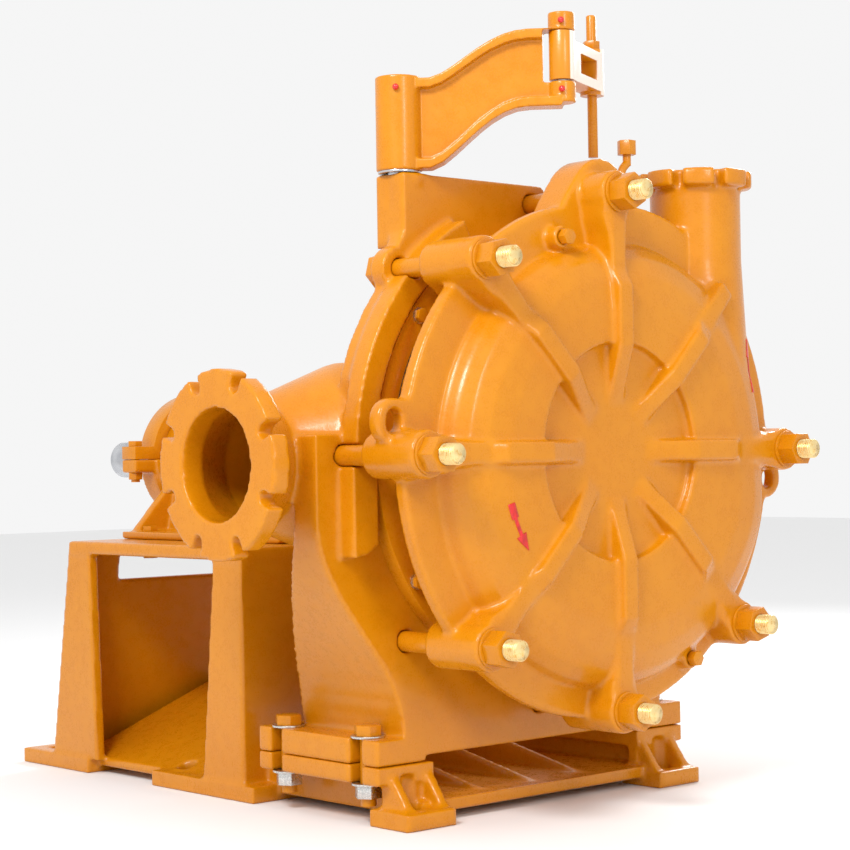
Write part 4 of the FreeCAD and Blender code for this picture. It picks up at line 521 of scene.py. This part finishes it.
# ---------------------------------------------------------------- threads and fasteners
def thread_surface(name, radius, depth, pitch, start, direction, length, taper=0.0):
    """Screw surface: radius swings between crest and root with the phase angle/turn minus travel/pitch.

    The rounded V is a folded cosine of that phase; the first and last turns fade out.
    """
    around = 40
    rows = max(12, int(length / pitch * 8))
    u = np.linspace(0.0, 1.0, rows)[:, None]
    v = np.linspace(0.0, 2.0 * np.pi, around, endpoint=False)[None, :]
    travel = u * length
    phase = (travel / pitch - v / (2.0 * np.pi)) % 1.0
    profile = 0.5 - 0.5 * np.cos(2.0 * np.pi * phase)
    profile = np.clip(profile * 1.5 - 0.25, 0.0, 1.0)
    ends = np.clip(travel / pitch, 0.0, 1.0) * np.clip((length - travel) / pitch + 0.4, 0.0, 1.0)
    r = radius - depth * profile * ends - taper * np.clip(1.0 - (length - travel) / taper, 0, 1) if taper \
        else radius - depth * profile * ends
    axis = Vector(direction).normalized()
    side = axis.orthogonal().normalized()
    other = axis.cross(side)
    a, s, o = (np.array(x) for x in (axis, side, other))
    points = (np.array(start)[None, None, :] + travel[..., None] * a
              + (r * np.cos(v))[..., None] * s + (r * np.sin(v))[..., None] * o)
    return grid_mesh(name, points, closed_v=True, caps=True)


def islands(node):
    """Lowest and highest corner of each separate solid of a CAD node."""
    build = bmesh.new()
    build.from_mesh(NODES[node].data)
    bmesh.ops.remove_doubles(build, verts=build.verts, dist=1e-5)
    seen, found = set(), []
    for first in build.verts:
        if first in seen:
            continue
        stack, members = [first], []
        seen.add(first)
        while stack:
            vert = stack.pop()
            members.append(vert.co.copy())
            for edge in vert.link_edges:
                other = edge.other_vert(vert)
                if other not in seen:
                    seen.add(other)
                    stack.append(other)
        pts = np.array([tuple(co) for co in members])
        found.append((pts.min(0), pts.max(0)))
    build.free()
    return found


def stud_pieces():
    """Studs as screw surfaces at the casing end and plain rods towards the frame."""
    meshes_thread, meshes_rod = [], []
    for low, high in islands("casing_studs"):
        centre = (low + high) / 2
        radius = (high[0] - low[0]) / 2
        tip, tail = low[1], high[1]
        threaded = 0.118
        start = (centre[0], tip + threaded, centre[2])
        meshes_thread.append(thread_surface("t", radius, look().thread_depth, look().thread_pitch,
                                            start, (0, -1, 0), threaded, taper=0.002))
        u = np.linspace(tip + threaded, tail, 6)
        v = np.linspace(0, 2 * np.pi, 48, endpoint=False)
        points = np.stack([np.broadcast_to(centre[0] + radius * np.cos(v), (6, 48)),
                           np.broadcast_to(u[:, None], (6, 48)),
                           np.broadcast_to(centre[2] + radius * np.sin(v), (6, 48))], -1)
        meshes_rod.append(grid_mesh("r", points, closed_v=True, caps=True))
    thread = piece("stud_threads", joined_meshes("stud_threads", meshes_thread), "structure",
                   "thread")
    rods = piece("stud_rods", joined_meshes("stud_rods", meshes_rod), "structure",
                 "smooth")
    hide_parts("casing_studs")
    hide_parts("casing_studs")
    return thread, rods


def arrow_outline(share):
    """Half width of an arrow along its length: square tail, thin shank, triangular head."""
    if share < 0.30:
        return 0.0075
    if share < 0.66:
        return 0.0032
    return 0.0115 * (1.0 - share) / 0.34


def arrow_mark(name, path, skin):
    """Raised arrow laid on the casing: path(t) +- outline(t) across, height taken from the skin."""
    tree = BVHTree.FromPolygons([v.co.copy() for v in skin.vertices],
                                [tuple(p.vertices) for p in skin.polygons])
    shares = sorted(list(np.linspace(0.0, 1.0, 41)) + [0.2999, 0.3001, 0.6599, 0.6601])
    across = np.linspace(-1.0, 1.0, 7)
    rows = []
    for share in shares:
        ahead = path(min(share + 0.01, 1.0)) - path(max(share - 0.01, 0.0))
        side = np.array((ahead[1], -ahead[0])) / np.hypot(*ahead)
        row = []
        for step in across:
            x, z = path(share) + side * step * max(arrow_outline(share), 0.0002)
            hit = tree.ray_cast(Vector((x, -2.0, z)), Vector((0, 1, 0)))[0]
            row.append((x, (hit.y if hit else -0.8) - 0.0022, z))
        sunk = [(row[0][0], row[0][1] + 0.005, row[0][2]), (row[-1][0], row[-1][1] + 0.005, row[-1][2])]
        rows.append([sunk[0]] + row + [sunk[1]])
    tail = [(x, y + 0.005, z) for x, y, z in rows[0]]
    return grid_mesh(name, np.array([tail] + rows))


def flow_arrows(skin):
    """Two arrows: one up the discharge side, one bent along the way the rotor turns."""
    def upward(share):
        return np.array((0.409 - 0.010 * share, 0.797 + 0.108 * share))

    def round_the_hub(share):
        angle = math.radians(197.0 + 17.5 * share)
        radius = 0.308
        return np.array((radius * math.cos(angle), 0.682 + radius * math.sin(angle)))

    made = []
    for name, path in (("arrow_up", upward), ("arrow_round", round_the_hub)):
        made.append(piece(name, arrow_mark(name, path, skin), "structure",
                          "arrow"))
    return made


def nodes_by_finish():
    """Which finish each remaining engineering node takes: (edge width, material)."""
    table = {
        "stud_nuts": (0.0012, "hardware"), "stud_washers": (0.0008, "hardware"),
        "frame_bolts": (0.0010, "hardware"), "frame_nuts": (0.0008, "zinc"),
        "frame_washers": (0.0006, "zinc"), "cover_bolts": (0.0007, "hardware"),
        "cover_washers": (0.0005, "zinc"), "casing_plugs": (0.0010, "hardware"),
        "vent_cap": (0.0010, "hardware"), "vent_pipe": (0.0, "hardware"),
        "suction_cover": (0.0015, "plate"), "seal_housing": (0.0025, "casting"),
        "cartridge": (0.0010, "plate"), "bearing_cover_rear": (0.0012, "plate"),
        "bearing_cover_front": (0.0012, "plate"), "bearing_cover_screws": (0.0005, "hardware"),
        "clamp_bolts": (0.0007, "hardware"), "clamp_caps": (0.0025, "casting"),
        "pedestal_bolts": (0.0007, "hardware"), "flinger": (0.0004, "gasket"),
        "gland": (0.0006, "bronze"), "gland_studs": (0.0004, "zinc"), "seal_bolts": (0.0005, "zinc"),
        "packing_rings": (0.0, "packing"), "casing_gasket": (0.0, "gasket"),
        "impeller": (0.0015, "iron"), "expeller": (0.0010, "iron"), "shaft": (0.0010, "steel"),
        "shaft_sleeve": (0.0006, "steel"),
        "bearing_front": (0.0005, "steel"), "bearing_rear": (0.0005, "steel"),
        "bearing_locknut": (0.0006, "steel"), "davit_pin": (0.0010, "steel"),
        "swivel_pin": (0.0006, "steel"), "davit_thrust_washer": (0.0004, "steel"),
        # The hanger block's finish carries a painted highlight in pale cream on the yoke's side faces.
        "hanger_block": (0.0020, "hanger"), "hanger_rod": (0.0004, "smooth"),
        "lifting_nut": (0.0006, "hardware"), "grease_caps": (0.0, "cap"),
    }
    return table


# ---------------------------------------------------------------- operators
class PUMP_OT_castings(bpy.types.Operator):
    """Resurface the big castings so that their edges carry foundry fillets"""
    bl_idname = "pump.castings"
    bl_label = "Castings"

    def execute(self, context):
        skin = casting("casing", "casting", 0.90, 9, 0.42)
        flow_arrows(skin.data)
        casting("pump_frame", "casting", 1.0, 4, 0.45)
        casting("bearing_pedestal", "casting", 0.8, 3, 0.6)
        casting("davit_arm", "casting", 0.45, 3, 0.7)
        casting("base", "plate", 1.0, 3, 0.42)
        return {"FINISHED"}


class PUMP_OT_fasteners(bpy.types.Operator):
    """Cut the threads of the casing studs"""
    bl_idname = "pump.fasteners"
    bl_label = "Studs"

    def execute(self, context):
        stud_pieces()
        return {"FINISHED"}


class PUMP_OT_machined(bpy.types.Operator):
    """Break the edges of machined and bought-in pieces and give them their finish"""
    bl_idname = "pump.machined"
    bl_label = "Machined pieces"

    def execute(self, context):
        for node, (width, material) in nodes_by_finish().items():
            machined(node, width, material)
        return {"FINISHED"}


def area_light(name, place, aim, size, power, size_y=None, colour=(1, 1, 1)):
    data = bpy.data.lights.new(name, "AREA")
    data.energy = power
    data.color = colour
    data.shape = "RECTANGLE"
    data.size = size
    data.size_y = size_y or size
    lamp = bpy.data.objects.new(name, data)
    bpy.context.scene.collection.objects.link(lamp)
    lamp.location = place
    lamp.rotation_euler = (Vector(aim) - Vector(place)).to_track_quat("-Z", "Y").to_euler()
    return lamp


def studio_camera():
    """Camera at the picture's standpoint: low, a long lens, turned 42 degrees off the shaft line."""
    data = bpy.data.cameras.new("camera")
    data.lens = 87.77
    data.clip_end = 40.0
    camera = bpy.data.objects.new("camera", data)
    bpy.context.scene.collection.objects.link(camera)
    turn, tilt, roll = (math.radians(a) for a in (-41.87, -0.87, -0.92))
    back = Vector((math.sin(turn) * math.cos(tilt), -math.cos(turn) * math.cos(tilt), math.sin(tilt)))
    right = Vector((math.cos(turn), math.sin(turn), 0.0))
    up = back.cross(right)
    right2 = right * math.cos(roll) + up * math.sin(roll)
    up2 = up * math.cos(roll) - right * math.sin(roll)
    rows = Matrix((right2, up2, back)).transposed()
    camera.matrix_world = Matrix.Translation((-2.8671, -3.4771, 0.6784)) @ rows.to_4x4()
    bpy.context.scene.camera = camera
    return camera


class PUMP_OT_stage(bpy.types.Operator):
    """Pale floor, soft boxes and the camera"""
    bl_idname = "pump.stage"
    bl_label = "Stage"

    def execute(self, context):
        steps = np.linspace(-14.0, 14.0, 3)
        points = np.stack(np.meshgrid(steps, steps, indexing="ij") + [np.zeros((3, 3))], -1)
        floor = bpy.data.objects.new("floor", grid_mesh("floor", points))
        context.scene.collection.objects.link(floor)
        shade = Shader("floor", (look().floor_grey,) * 3, 0.9)
        cloud = shade.noise(0.6, 2.0)
        shade.roughness(cloud.ramp(0.3, 0.7, 0.85, 0.95))
        floor.data.materials.append(shade.material)
        floor.location.z = -0.0005
        world = bpy.data.worlds.new("studio")
        world.use_nodes = True
        world.node_tree.nodes["Background"].inputs["Color"].default_value = (1.0, 1.0, 1.0, 1.0)
        world.node_tree.nodes["Background"].inputs["Strength"].default_value = 0.92
        context.scene.world = world
        centre = (0.0, -0.3, 0.7)
        area_light("key", (-3.6, -2.0, 3.6), centre, 1.4, 150.0, 1.0)
        area_light("front", (-1.2, -5.0, 2.6), centre, 0.7, 45.0, 1.6)
        area_light("rim", (3.4, 0.8, 2.8), centre, 1.0, 80.0, 1.8)
        studio_camera()
        context.scene.view_settings.view_transform = "Standard"
        context.scene.view_settings.look = "None"
        return {"FINISHED"}


class PUMP_PT_panel(bpy.types.Panel):
    """Sidebar panel with the settings and one button per group"""
    bl_idname = "PUMP_PT_panel"
    bl_label = "Slurry pump"
    bl_space_type = "VIEW_3D"
    bl_region_type = "UI"
    bl_category = "Pump"

    def draw(self, context):
        settings = context.scene.pump_look
        for name in PumpLook.__annotations__:
            self.layout.prop(settings, name)
        for operator in OPERATORS:
            self.layout.operator(operator.bl_idname)


OPERATORS = (PUMP_OT_castings, PUMP_OT_fasteners, PUMP_OT_machined, PUMP_OT_stage)
CLASSES = (PumpLook,) + OPERATORS + (PUMP_PT_panel,)


def register():
    for cls in CLASSES:
        bpy.utils.register_class(cls)
    bpy.types.Scene.pump_look = bpy.props.PointerProperty(type=PumpLook)


def unregister():
    del bpy.types.Scene.pump_look
    for cls in reversed(CLASSES):
        bpy.utils.unregister_class(cls)


def main():
    register()
    bpy.ops.pump.castings()
    bpy.ops.pump.fasteners()
    bpy.ops.pump.machined()
    bpy.ops.pump.stage()


if __name__ == "__main__":
    main()
